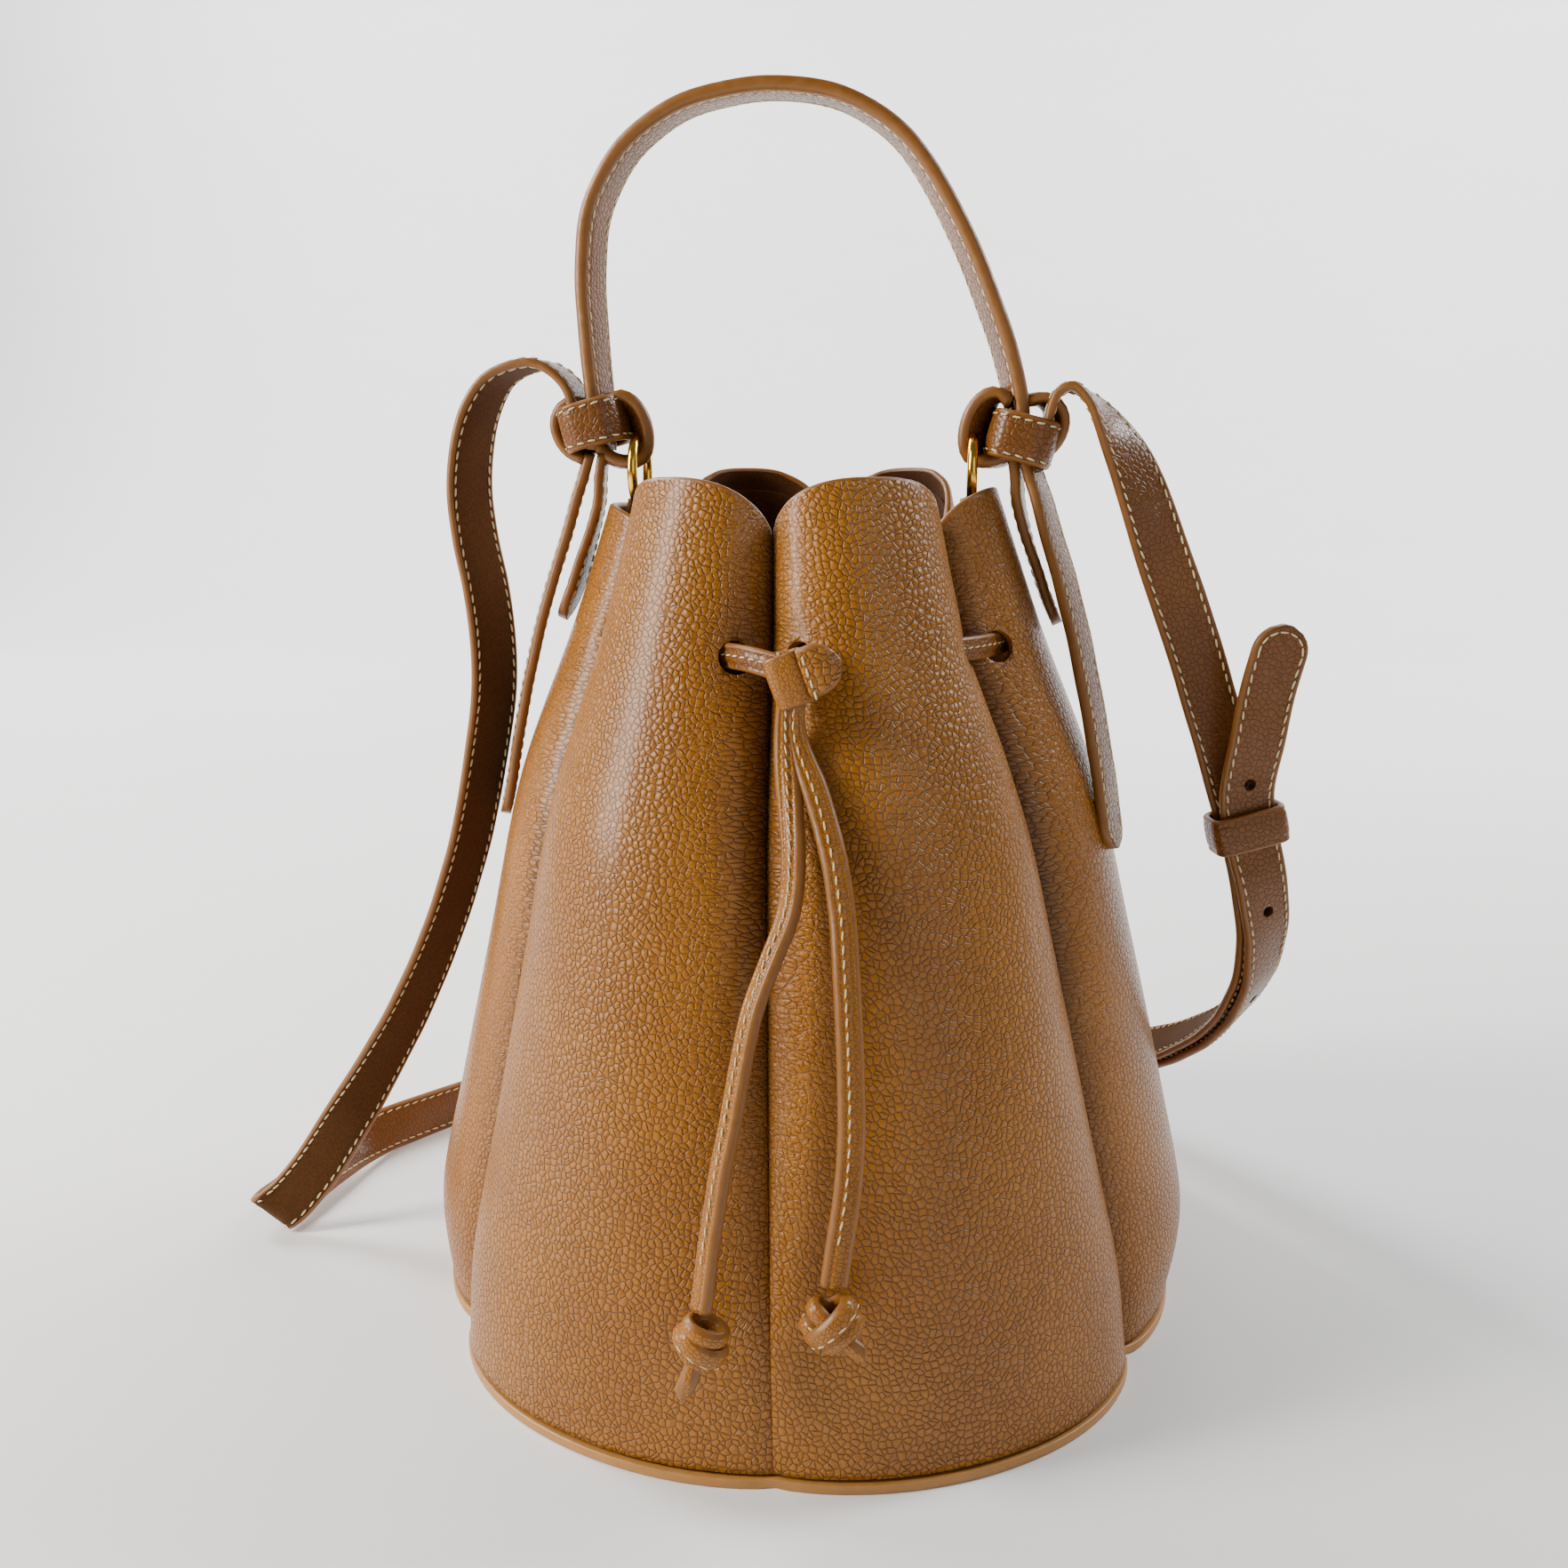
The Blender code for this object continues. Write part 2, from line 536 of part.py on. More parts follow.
# ---- lace, slider and tails -------------------------------------------------------------
SLIDER_CENTRE = (3.2 * MM, -74.2 * MM, 191.5 * MM)
SLIDER_INNER = (6.4 * MM, 6.8 * MM)
SLIDER_HEIGHT = 15.0 * MM
SLIDER_WALL = 1.5 * MM

LEFT_TAIL_ROUTE = (
    (1.7, -74.2, 198.0), (1.7, -74.2, 187.0), (1.7, -74.6, 176.5), (3.6, -80.0, 163.3),
    (5.2, -85.6, 151.0),
    (4.8, -90.0, 138.5), (0.6, -95.5, 126.5), (-3.2, -99.8, 114.5), (-5.4, -103.4, 102.5),
    (-7.4, -107.2, 90.0), (-9.2, -110.6, 78.0), (-10.8, -113.6, 66.0), (-12.0, -116.2, 55.0),
    (-12.6, -117.6, 49.0))
RIGHT_TAIL_ROUTE = (
    (4.7, -74.2, 198.0), (4.7, -74.2, 187.0), (5.0, -74.6, 176.5), (10.4, -80.0, 163.5),
    (14.8, -86.0, 151.0),
    (17.4, -90.8, 138.5), (18.8, -95.6, 126.5), (19.9, -99.8, 114.3), (20.8, -103.4, 102.0),
    (21.3, -107.0, 89.5), (20.8, -110.4, 77.5), (19.4, -113.4, 66.0), (18.2, -115.8, 56.5))
LEFT_KNOT = (-12.6 * MM, -119.0 * MM, 38.5 * MM)
RIGHT_KNOT = (18.2 * MM, -117.5 * MM, 48.0 * MM)


def cord(name, route, diameter):
    """A round cord along a smooth curve through the route's points, as a mesh."""
    points = smooth_path(route, 2) * MM
    curve = bpy.data.curves.new(name, "CURVE")
    curve.dimensions = "3D"
    curve.bevel_depth = diameter / 2
    curve.bevel_resolution = 2
    curve.use_fill_caps = True
    spline = curve.splines.new("POLY")
    spline.points.add(len(points) - 1)
    for slot, point in zip(spline.points, points):
        slot.co = (*point, 1.0)
    obj = bpy.data.objects.new(name, curve)
    curve.materials.append(material(name, CAMEL, 0.55))
    collection(PARTS).objects.link(obj)
    return obj


def ball(name, centre, size):
    bm = bmesh.new()
    bmesh.ops.create_uvsphere(bm, u_segments=12, v_segments=8, radius=0.5)
    bmesh.ops.scale(bm, verts=bm.verts, vec=size)
    obj = add_mesh(name, bm, CAMEL)
    obj.location = centre
    return obj


def build_lace():
    lean_x = lean(LACE_Z) / MM
    radius = LACE_RADIUS / MM
    z = LACE_Z / MM
    opening = math.radians(14)
    angles = np.linspace(-math.pi / 2 + opening, 1.5 * math.pi - opening, 40)
    hoop = [(lean_x + radius * math.cos(a), radius * math.sin(a), z, 0, 0, 1) for a in angles]
    ribbon("drawstring_lace", hoop, LACE_WIDTH, LACE_THICK, per_span=1)

    sleeve("slider_band", SLIDER_CENTRE, SLIDER_INNER, SLIDER_HEIGHT, SLIDER_WALL)
    tab_size = Vector((7.6 * MM, 2.8 * MM, SLIDER_HEIGHT - 1 * MM))
    bm = bmesh.new()
    bmesh.ops.create_cube(bm, size=1.0)
    bmesh.ops.scale(bm, verts=bm.verts, vec=tab_size)
    tab = add_mesh("slider_tab", bm, CAMEL)
    band_half = SLIDER_INNER[0] / 2 + SLIDER_WALL
    tab.location = Vector(SLIDER_CENTRE) + Vector((band_half + GAP + tab_size.x / 2, 0, 0))
    bevel(tab, 0.8 * MM)

    cord("drawstring_tail_left", LEFT_TAIL_ROUTE, TAIL_DIAMETER)
    cord("drawstring_tail_right", RIGHT_TAIL_ROUTE, TAIL_DIAMETER)
    ball("drawstring_knot_left", LEFT_KNOT, (13 * MM, 9 * MM, 20 * MM))
    ball("drawstring_knot_right", RIGHT_KNOT, (15 * MM, 8 * MM, 16 * MM))


# ---- assembly ---------------------------------------------------------------------------
def main():
    clear_scene()
    punches = eyelet_cutters()
    build_walls(punches)
    build_base()
    build_rings()
    build_handle()
    build_knots()
    build_shoulder_strap()
    build_lace()


main()
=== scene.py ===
import math

import bmesh
import bpy
import numpy as np
from mathutils import Euler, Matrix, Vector


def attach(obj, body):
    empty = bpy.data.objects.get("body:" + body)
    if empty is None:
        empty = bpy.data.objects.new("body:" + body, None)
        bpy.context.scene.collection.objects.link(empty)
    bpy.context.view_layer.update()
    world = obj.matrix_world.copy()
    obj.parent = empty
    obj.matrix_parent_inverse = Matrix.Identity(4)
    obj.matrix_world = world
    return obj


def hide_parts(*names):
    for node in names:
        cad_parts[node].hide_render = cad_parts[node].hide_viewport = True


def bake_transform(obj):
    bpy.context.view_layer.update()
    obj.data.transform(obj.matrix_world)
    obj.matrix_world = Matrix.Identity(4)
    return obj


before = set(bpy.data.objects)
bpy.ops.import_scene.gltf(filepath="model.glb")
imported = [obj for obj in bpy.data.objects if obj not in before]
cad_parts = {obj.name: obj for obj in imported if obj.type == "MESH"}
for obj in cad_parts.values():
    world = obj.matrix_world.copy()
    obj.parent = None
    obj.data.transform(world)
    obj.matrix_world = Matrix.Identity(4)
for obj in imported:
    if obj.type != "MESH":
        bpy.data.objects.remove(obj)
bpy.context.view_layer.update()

MM = 0.001


def link(obj):
    bpy.context.scene.collection.objects.link(obj)
    return obj


# ---- camera
CAMERA_PLACE = (0.0424, -0.4035, 0.237)
CAMERA_PITCH_DOWN = math.radians(12.13)
CAMERA_HEADING = math.radians(7.07)


def make_camera():
    data = bpy.data.cameras.new("camera")
    data.sensor_width, data.lens = 36.0, 31.9
    data.clip_start, data.clip_end = 0.01, 20.0
    camera = link(bpy.data.objects.new("camera", data))
    camera.location = CAMERA_PLACE
    camera.rotation_euler = (math.pi / 2 - CAMERA_PITCH_DOWN, 0.0, CAMERA_HEADING)
    bpy.context.scene.camera = camera


make_camera()


# ---- node materials
class Nodes:
    """A small helper that adds nodes to a material and links them."""

    def __init__(self, name):
        self.mat = bpy.data.materials.new(name)
        self.mat.use_nodes = True
        self.tree = self.mat.node_tree
        self.shader = self.tree.nodes["Principled BSDF"]

    def add(self, kind, props=None, **inputs):
        node = self.tree.nodes.new("ShaderNode" + kind)
        for key, value in (props or {}).items():
            setattr(node, key, value)
        self.fill(node, **inputs)
        return node

    def fill(self, node, **inputs):
        """Sets sockets by name, with _ written for each space."""
        for key, value in inputs.items():
            self.put(node.inputs[key.replace("_", " ")], value)

    def put(self, socket, value):
        if isinstance(value, bpy.types.NodeSocket):
            self.tree.links.new(value, socket)
        else:
            socket.default_value = value

    def math(self, operation, a, b):
        node = self.add("Math", {"operation": operation})
        self.put(node.inputs[0], a)
        self.put(node.inputs[1], b)
        return node.outputs[0]

    def remap(self, value, low, high, to_low=0.0, to_high=1.0):
        node = self.add("MapRange", {"interpolation_type": "SMOOTHSTEP"}, Value=value,
                        From_Min=low, From_Max=high, To_Min=to_low, To_Max=to_high)
        return node.outputs["Result"]

    def mix(self, factor, a, b, kind="RGBA"):
        """Two colours mixed, or two numbers with kind FLOAT."""
        node = self.add("Mix", {"data_type": kind}, Factor=factor)
        first, out = (6, 2) if kind == "RGBA" else (2, 0)
        for socket, value in zip(node.inputs[first:first + 2], (a, b)):
            self.put(socket, (*value, 1.0) if isinstance(value, tuple) else value)
        return node.outputs[out]

    def coords(self, scale, source="Object"):
        where = self.add("TexCoord").outputs[source]
        scale = scale if isinstance(scale, tuple) else (scale,) * 3
        return self.add("Mapping", Vector=where, Scale=scale).outputs["Vector"]

    def noise(self, scale, detail, roughness=0.5):
        node = self.add("TexNoise", Vector=self.coords(scale), Scale=1.0, Detail=detail,
                        Roughness=roughness)
        return node.outputs["Fac"]

    def attribute(self, name):
        return self.add("Attribute", {"attribute_name": name}).outputs["Fac"]

    def wobble(self, vector, scale, amount):
        """The vector pushed about by noise, so that cells aren't regular."""
        noise = self.add("TexNoise", Vector=vector, Scale=scale, Detail=2.0)
        shift = self.add("VectorMath", {"operation": "SCALE"}, Scale=amount)
        self.put(shift.inputs[0], noise.outputs["Color"])
        total = self.add("VectorMath", {"operation": "ADD"})
        self.put(total.inputs[0], vector)
        self.put(total.inputs[1], shift.outputs[0])
        return total.outputs[0]

    def finish(self, colour, bump, distance, **shader):
        node = self.add("Bump", Strength=1.0, Distance=distance, Height=bump)
        self.fill(self.shader, Base_Color=colour, Normal=node.outputs["Normal"], **shader)
        return self.mat


def tint(colour, by):
    return tuple(c * by for c in colour)


CELL_WOBBLE = 0.55
VALLEY_WIDTH = 0.16
DOME_WIDTH = 0.75
CREASE_STRETCH = (0.5, 1.25)
VALLEY_SHARE = 0.55
# how far the painted shade in the creases darkens the leather
CREASE_SHADE_SHARE = 0.8
FINE_GRAIN = 0.12


def pebbles(n, cell, stretch):
    """Height of the grain's raised cells: 1 on the cells, 0 in the valleys between them."""
    scale = (stretch[0] / cell, stretch[1] / cell, 1 / cell)
    vector = n.wobble(n.coords(scale, "UV"), 0.9, CELL_WOBBLE)

    def distance(feature):
        node = n.add("TexVoronoi", {"feature": feature, "voronoi_dimensions": "2D"},
                     Vector=vector, Scale=1.0, Randomness=0.95)
        return node.outputs["Distance"]

    valley = n.remap(distance("DISTANCE_TO_EDGE"), 0.0, VALLEY_WIDTH)
    top = n.remap(distance("F1"), 0.0, DOME_WIDTH, 1.0, 0.0)
    return n.math("MULTIPLY", valley, n.math("ADD", n.math("MULTIPLY", top, 0.5), 0.5))


def leather(name, colour, cell, relief, creased=False, roughness=0.31):
    """Pebble-grained leather: glossy raised cells, darker valleys and slow changes of tone; creased,
    its grain also stretches into the creases and painted shade darkens it towards them.
    """
    n = Nodes(name)
    height = pebbles(n, cell, (1.0, 1.0))
    if creased:
        height = n.mix(n.attribute("fold"), height, pebbles(n, cell, CREASE_STRETCH), "FLOAT")
    tone = n.remap(n.noise(34, 3.0), 0.3, 0.7)
    warm = tuple(c * k for c, k in zip(colour, (0.86, 0.82, 0.74)))
    face = n.mix(tone, warm, colour)
    grained = n.mix(n.remap(height, 0.0, 0.6), n.mix(VALLEY_SHARE, face, VALLEY_AND_CREASE_SHADE), face)
    if creased:
        # painted shade: the colour darkened towards the petals' creases, mixed towards the dark
        # valley colour
        grained = n.mix(n.math("MULTIPLY", n.attribute("crease"), CREASE_SHADE_SHARE), grained, VALLEY_AND_CREASE_SHADE)
    bump = n.math("ADD", height, n.math("MULTIPLY", n.noise(5200, 4.0, 0.6), FINE_GRAIN))
    return n.finish(grained, bump, relief, Specular_IOR_Level=0.32, Coat_Weight=0.16,
                    Coat_Roughness=0.22,
                    Roughness=n.remap(height, 0.0, 0.8, roughness + 0.25, roughness))


def suede(name, colour):
    """Napped leather with slow light and dark patches."""
    n = Nodes(name)
    nap = n.noise(1600, 5.0, 0.7)
    patches = n.mix(n.noise(90, 2.0), colour, tint(colour, 1.35))
    mixed = n.mix(n.remap(nap, 0.3, 0.7), tint(colour, 0.62), patches)
    return n.finish(mixed, nap, 0.25 * MM, Roughness=0.95, Sheen_Weight=0.06, Sheen_Roughness=0.5,
                    Specular_IOR_Level=0.2)


def edge_paint(name, colour):
    """Sealed cut edge: smooth paint with faint waves."""
    n = Nodes(name)
    waves = n.noise(420, 3.0)
    return n.finish(n.mix(waves, tint(colour, 0.72), colour), waves, 0.15 * MM,
                    Roughness=n.remap(waves, 0.2, 0.8, 0.34, 0.52))


def polished_metal(name, colour):
    n = Nodes(name)
    scuffs = n.noise((260, 900, 260), 6.0)
    return n.finish(n.mix(scuffs, tint(colour, 0.85), colour), scuffs, 0.02 * MM, Metallic=1.0,
                    Roughness=n.remap(scuffs, 0.3, 0.8, 0.12, 0.3))


def thread(name, colour):
    """Waxed thread with diagonal plies."""
    n = Nodes(name)
    wave = n.add("TexWave", {"wave_type": "BANDS", "bands_direction": "DIAGONAL"},
                 Vector=n.coords(900), Scale=1.0, Distortion=1.5)
    ply = wave.outputs["Fac"]
    return n.finish(n.mix(ply, tint(colour, 0.7), colour), ply, 0.1 * MM, Roughness=0.75)


CAMEL = (0.325, 0.117, 0.004)
# dark colour of the grain's valleys, also used as the painted shade in the petals' creases
VALLEY_AND_CREASE_SHADE = (0.060, 0.022, 0.004)
LEATHER = leather("pebbled_leather", CAMEL, 1.75 * MM, 0.42 * MM, creased=True)
STRAP_LEATHER = leather("strap_leather", (0.175, 0.058, 0.004), 1.6 * MM, 0.18 * MM)
SMOOTH_LEATHER = leather("smooth_leather", CAMEL, 1.1 * MM, 0.12 * MM, roughness=0.34)
EDGE = edge_paint("edge_paint", (0.235, 0.085, 0.008))
BASE_EDGE = edge_paint("base_edge_paint", (0.46, 0.21, 0.05))
SUEDE = suede("suede", (0.085, 0.030, 0.004))
LINING = suede("lining_suede", (0.085, 0.026, 0.003))
GOLD = polished_metal("polished_gold", (0.95, 0.56, 0.07))
THREAD = thread("cream_thread", (0.85, 0.68, 0.38))
# materials of a strap's outer face, edge and inner face
BOTH_FACES = [STRAP_LEATHER, EDGE, STRAP_LEATHER]
SUEDE_OUT = [SUEDE, EDGE, STRAP_LEATHER]
SUEDE_BACKED = [STRAP_LEATHER, EDGE, SUEDE]
LACE_FACES = [SMOOTH_LEATHER, EDGE, SMOOTH_LEATHER]


# ---- mesh helpers
def hermite(knots, at):
    """Read a smooth curve through (place, value) knots at an array of places."""
    places, values = np.array(knots).T
    at = np.clip(at, places[0], places[-1])
    i = np.clip(np.searchsorted(places, at) - 1, 0, len(places) - 2)
    slope = np.gradient(values, places)
    span = places[i + 1] - places[i]
    u = (at - places[i]) / span
    return ((2 * u**3 - 3 * u**2 + 1) * values[i] + (u**3 - 2 * u**2 + u) * span * slope[i]
            + (3 * u**2 - 2 * u**3) * values[i + 1] + (u**3 - u**2) * span * slope[i + 1])


def unit(vectors):
    return vectors / np.maximum(np.linalg.norm(vectors, axis=-1, keepdims=True), 1e-12)


def circle(count):
    return np.linspace(0, 2 * math.pi, count, endpoint=False)


def smooth_path(points, per_span=8):
    """A Catmull-Rom curve through rows of numbers."""
    rows = np.array(points, dtype=float)
    rows = np.vstack([2 * rows[0] - rows[1], rows, 2 * rows[-1] - rows[-2]])
    out = []
    for a, b, c, d in zip(rows, rows[1:], rows[2:], rows[3:]):
        for u in np.arange(per_span) / per_span:
            out.append(0.5 * (2 * b + (c - a) * u + (2 * a - 5 * b + 4 * c - d) * u**2
                              + (3 * b - a - 3 * c + d) * u**3))
    out.append(rows[-2])
    return np.array(out)


def lengths(points, axis=0):
    """Distances along the points from the first one."""
    steps = np.linalg.norm(np.diff(points, axis=axis), axis=-1)
    first = np.zeros_like(np.take(steps, [0], axis=axis))
    return np.concatenate([first, np.cumsum(steps, axis=axis)], axis=axis)


def evenly(rows, step):
    """Rows of numbers whose first three are a place, sampled again every step metres."""
    s = lengths(rows[:, :3])
    at = np.linspace(0, s[-1], max(int(round(s[-1] / step)), 4) + 1)
    return np.stack([np.interp(at, s, column) for column in rows.T], axis=1)


def tube_faces(rings, sides, closed=False):
    """Quads between rings of vertices that follow each other, each ring with the same count."""
    quads = []
    for i in range(rings if closed else rings - 1):
        j = (i + 1) % rings
        for k in range(sides):
            m = (k + 1) % sides
            quads.append((i * sides + k, i * sides + m, j * sides + m, j * sides + k))
    return quads


def end_faces(rings, sides):
    """The first ring and the last ring as faces."""
    return tuple(range(sides)), tuple(range((rings - 1) * sides, rings * sides))


def add_object(name, verts, faces, mats, face_mats=None, uvs=None):
    mesh = bpy.data.meshes.new(name)
    mesh.from_pydata([tuple(v) for v in verts], [], faces)
    for mat in mats:
        mesh.materials.append(mat)
    if face_mats is not None:
        mesh.polygons.foreach_set("material_index", np.array(face_mats, np.int32))
    if uvs is not None:
        layer = mesh.uv_layers.new(name="UVMap")
        layer.data.foreach_set("uv", np.array(uvs, np.float32).ravel())
    mesh.shade_smooth()
    return link(bpy.data.objects.new(name, mesh))


def place(obj, body, stands_for=(), bend=None):
    """Hangs a piece on the body it rides on, or with bend only bakes its transform in, and hides the
    CAD nodes it stands for.
    """
    if bend is None:
        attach(obj, body)
    else:
        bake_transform(obj)
    if stands_for:
        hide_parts(*stands_for)
    return obj


def punch(objects, places, axes, radius, depth, segments):
    """Cuts a round hole through the objects at each place, along its axis."""
    bm = bmesh.new()
    for centre, axis in zip(places, axes):
        made = bmesh.ops.create_cone(bm, cap_ends=True, segments=segments, radius1=radius,
                                     radius2=radius, depth=depth)
        turn = Vector(axis).to_track_quat("Z", "Y").to_matrix()
        bmesh.ops.rotate(bm, verts=made["verts"], matrix=turn, cent=(0, 0, 0))
        bmesh.ops.translate(bm, verts=made["verts"], vec=Vector(centre))
    mesh = bpy.data.meshes.new("holes")
    bm.to_mesh(mesh)
    bm.free()
    holes = link(bpy.data.objects.new("holes", mesh))
    for obj in objects:
        mod = obj.modifiers.new("holes", "BOOLEAN")
        mod.operation = "DIFFERENCE"
        mod.object = holes
        mod.solver = "EXACT"
        bpy.context.view_layer.update()
        whole = obj.evaluated_get(bpy.context.evaluated_depsgraph_get())
        made = bpy.data.meshes.new_from_object(whole)
        obj.modifiers.clear()
        obj.data = made
    bpy.data.objects.remove(holes)


# ---- straps
class Frames:
    """Places along a strap with the directions along it, across it and out of its face."""

    def __init__(self, rows, closed=False):
        self.places = rows[:, :3]
        if closed:
            along = np.roll(self.places, -1, axis=0) - np.roll(self.places, 1, axis=0)
        else:
            along = np.gradient(self.places, axis=0)
        self.along = unit(along)
        wide = rows[:, 3:6]
        wide = wide - self.along * np.sum(self.along * wide, axis=1, keepdims=True)
        self.wide = unit(wide)
        self.out = np.cross(self.along, self.wide)
        self.closed = closed
        self.s = lengths(self.places)

    def at(self, s):
        """Interpolated place, along, wide and out at distances s."""
        def read(columns):
            return np.stack([np.interp(s, self.s, c) for c in columns.T], axis=1)
        return read(self.places), unit(read(self.along)), unit(read(self.wide)), unit(read(self.out))


def route_frames(route, step=1.6 * MM, shift=0.0):
    """Frames along rows of (place, width direction), moved out of their face by shift."""
    rows = smooth_path(route)
    rows[:, :3] *= MM
    rows = evenly(rows, step)
    frames = Frames(rows)
    if shift:
        rows[:, :3] = frames.places + frames.out * shift
        frames = Frames(rows)
    return frames


def strap_section(width, thick, crown, groove, inset, corner):
    """A closed loop of (across, out, kind): kind 0 outer face, 1 edge, 2 inner face."""
    half, radius = width / 2, min(corner, thick / 2 * 0.96)
    across = np.linspace(-(half - radius), half - radius, 17)
    lift = crown * (1 - (across / half) ** 2)
    lift = lift - groove * np.exp(-((np.abs(across) - (half - inset)) / (0.5 * MM)) ** 2)
    bend = np.radians(np.linspace(90, -90, 9)[1:-1])
    loop = [(w, thick / 2 + n, 0) for w, n in zip(across, lift)]
    loop += [(half - radius + radius * math.cos(a), thick / 2 * math.sin(a), 1) for a in bend]
    loop += [(w, -thick / 2 - n, 2) for w, n in zip(across[::-1], lift[::-1])]
    loop += [(radius - half - radius * math.cos(a), thick / 2 * math.sin(a), 1)
             for a in bend[::-1]]
    return np.array(loop)


def strap(name, frames, width, thick, mats, crown=0.15 * MM, groove=0.22 * MM, inset=1.8 * MM,
          corner=1.1 * MM, round_ends=(False, False), taper=1.0, waves=0.0, seed=0):
    """A strap with crowned faces, rounded painted edges and a groove along each stitch row."""
    section = strap_section(width, thick, crown, groove, inset, corner)
    count, sides = len(frames.places), len(section)
    scale = np.ones(count) * taper
    total = frames.s[-1]
    for is_round, from_end in zip(round_ends, (frames.s, total - frames.s)):
        if is_round:
            reach = np.clip(1 - from_end / (width / 2), 0, 1)
            scale = scale * np.sqrt(np.maximum(1 - reach**2, 0.03))
    across = section[:, 0][None, :, None] * scale[:, None, None] * frames.wide[:, None, :]
    outward = section[:, 1][None, :, None] * frames.out[:, None, :]
    grid = frames.places[:, None, :] + across + outward
    if waves:
        rng = np.random.default_rng(seed)
        ripple = sum(np.sin(frames.s * k + rng.uniform(0, 6)) * rng.uniform(0.3, 1)
                     for k in (95, 170, 310))
        grid += (ripple * waves)[:, None, None] * frames.out[:, None, :]
    around = lengths(np.vstack([section[:, :2], section[:1, :2]]))
    steps = np.append(frames.s, total + np.linalg.norm(frames.places[0] - frames.places[-1]))
    faces = [quad[::-1] for quad in tube_faces(count, sides, frames.closed)]
    kinds, uvs = [], []
    for low, high in list(zip(steps, steps[1:]))[:len(faces) // sides]:
        for k in range(sides):
            left, right = around[k], around[k + 1]
            uvs += [(left, high), (right, high), (right, low), (left, low)]
            a, b = section[k, 2], section[(k + 1) % sides, 2]
            kinds.append(int(a) if a == b else 1)
    if not frames.closed:
        first, last = end_faces(count, sides)
        faces += [first, last[::-1]]
        kinds += [1, 1]
        uvs += [(w, q) for w, q, _ in section] * 2
    return add_object(name, grid.reshape(-1, 3), faces, mats, kinds, uvs)


STITCH_SIDES = 6
# a stitch's rings: how far along it and how full
STITCH_PROFILE = ((-0.5, 0.12), (-0.38, 0.75), (0.0, 1.0), (0.38, 0.75), (0.5, 0.12))


def stitch_mesh(centres, along, across, outward, length, width):
    """Many small rounded stitches in one mesh."""
    ring = [(math.cos(a), math.sin(a)) for a in circle(STITCH_SIDES)]
    local = np.array([(x * length, r * c * width / 2, r * s * width / 2)
                      for x, r in STITCH_PROFILE for c, s in ring])
    verts = (centres[:, None, :] + local[None, :, 0:1] * along[:, None, :]
             + local[None, :, 1:2] * across[:, None, :] + local[None, :, 2:3] * outward[:, None, :])
    first, last = end_faces(len(STITCH_PROFILE), STITCH_SIDES)
    faces = [*tube_faces(len(STITCH_PROFILE), STITCH_SIDES), first[::-1], last]
    all_faces = [tuple(v + i * len(local) for v in f) for i in range(len(centres)) for f in faces]
    return verts.reshape(-1, 3), all_faces


def stitch_rows(name, frames, rows, pitch=3.4 * MM, length=2.5 * MM, width=0.62 * MM,
                margin=2.5 * MM, extra=()):
    """rows is a list of (across, out) offsets; a stitch lies every pitch along each of them."""
    slant = 0.12
    groups = []
    for across, out in rows:
        s = np.arange(margin, frames.s[-1] - margin, pitch)
        centre, along, wide, face = frames.at(s)
        centre = centre + wide * across + face * out
        tilt = unit(along + wide * slant * np.sign(across or 1))
        groups.append((centre, tilt, unit(np.cross(face, tilt)), face))
    verts, faces = [], []
    start = 0
    for group in [*groups, *extra]:
        v, f = stitch_mesh(*group, length, width)
        verts.append(v)
        faces += [tuple(i + start for i in face) for face in f]
        start += len(v)
    return add_object(name, np.vstack(verts), faces, [THREAD])


LACE_STITCHES = {"pitch": 3.0 * MM, "length": 2.1 * MM, "width": 0.5 * MM}


def face_rows(width, thick, inset):
    """Stitch rows near both edges of both faces."""
    out = thick / 2 + 0.02 * MM
    return [(side * (width / 2 - inset), face * out) for side in (-1, 1) for face in (1, -1)]


def tip_stitches(frames, width, inset, out):
    """Stitches round a strap's rounded tip, inset from its edge."""
    radius = width / 2 - inset
    angles = np.arange(-math.pi / 2, math.pi / 2 + 0.01, 2.9 * MM / radius)
    s = frames.s[-1] - width / 2 + radius * np.cos(angles) * 0.98
    centre, along, wide, face = frames.at(s)
    centre = centre + wide * (radius * np.sin(angles))[:, None] + face * out
    tangent = unit(-along * np.sin(angles)[:, None] + wide * np.cos(angles)[:, None])
    return centre, tangent, unit(np.cross(face, tangent)), face


# ---- lace tails (free cords)
TAIL_WIDTH = 6.6 * MM
TAIL_THICK = 3.0 * MM
# the same points as the CAD's cords, in millimetres
LEFT_TAIL_ROUTE = np.array((
    (1.7, -74.2, 198), (1.7, -74.2, 187), (1.7, -74.6, 176.5), (3.6, -80, 163.3), (5.2, -85.6, 151),
    (4.8, -90, 138.5), (0.6, -95.5, 126.5), (-3.2, -99.8, 114.5), (-5.4, -103.4, 102.5),
    (-7.4, -107.2, 90), (-9.2, -110.6, 78), (-10.8, -113.6, 66), (-12, -116.2, 55),
    (-12.6, -117.6, 49)))
RIGHT_TAIL_ROUTE = np.array((
    (4.7, -74.2, 198), (4.7, -74.2, 187), (5, -74.6, 176.5), (10.4, -80, 163.5), (14.8, -86, 151),
    (17.4, -90.8, 138.5), (18.8, -95.6, 126.5), (19.9, -99.8, 114.3), (20.8, -103.4, 102),
    (21.3, -107, 89.5), (20.8, -110.4, 77.5), (19.4, -113.4, 66), (18.2, -115.8, 56.5)))


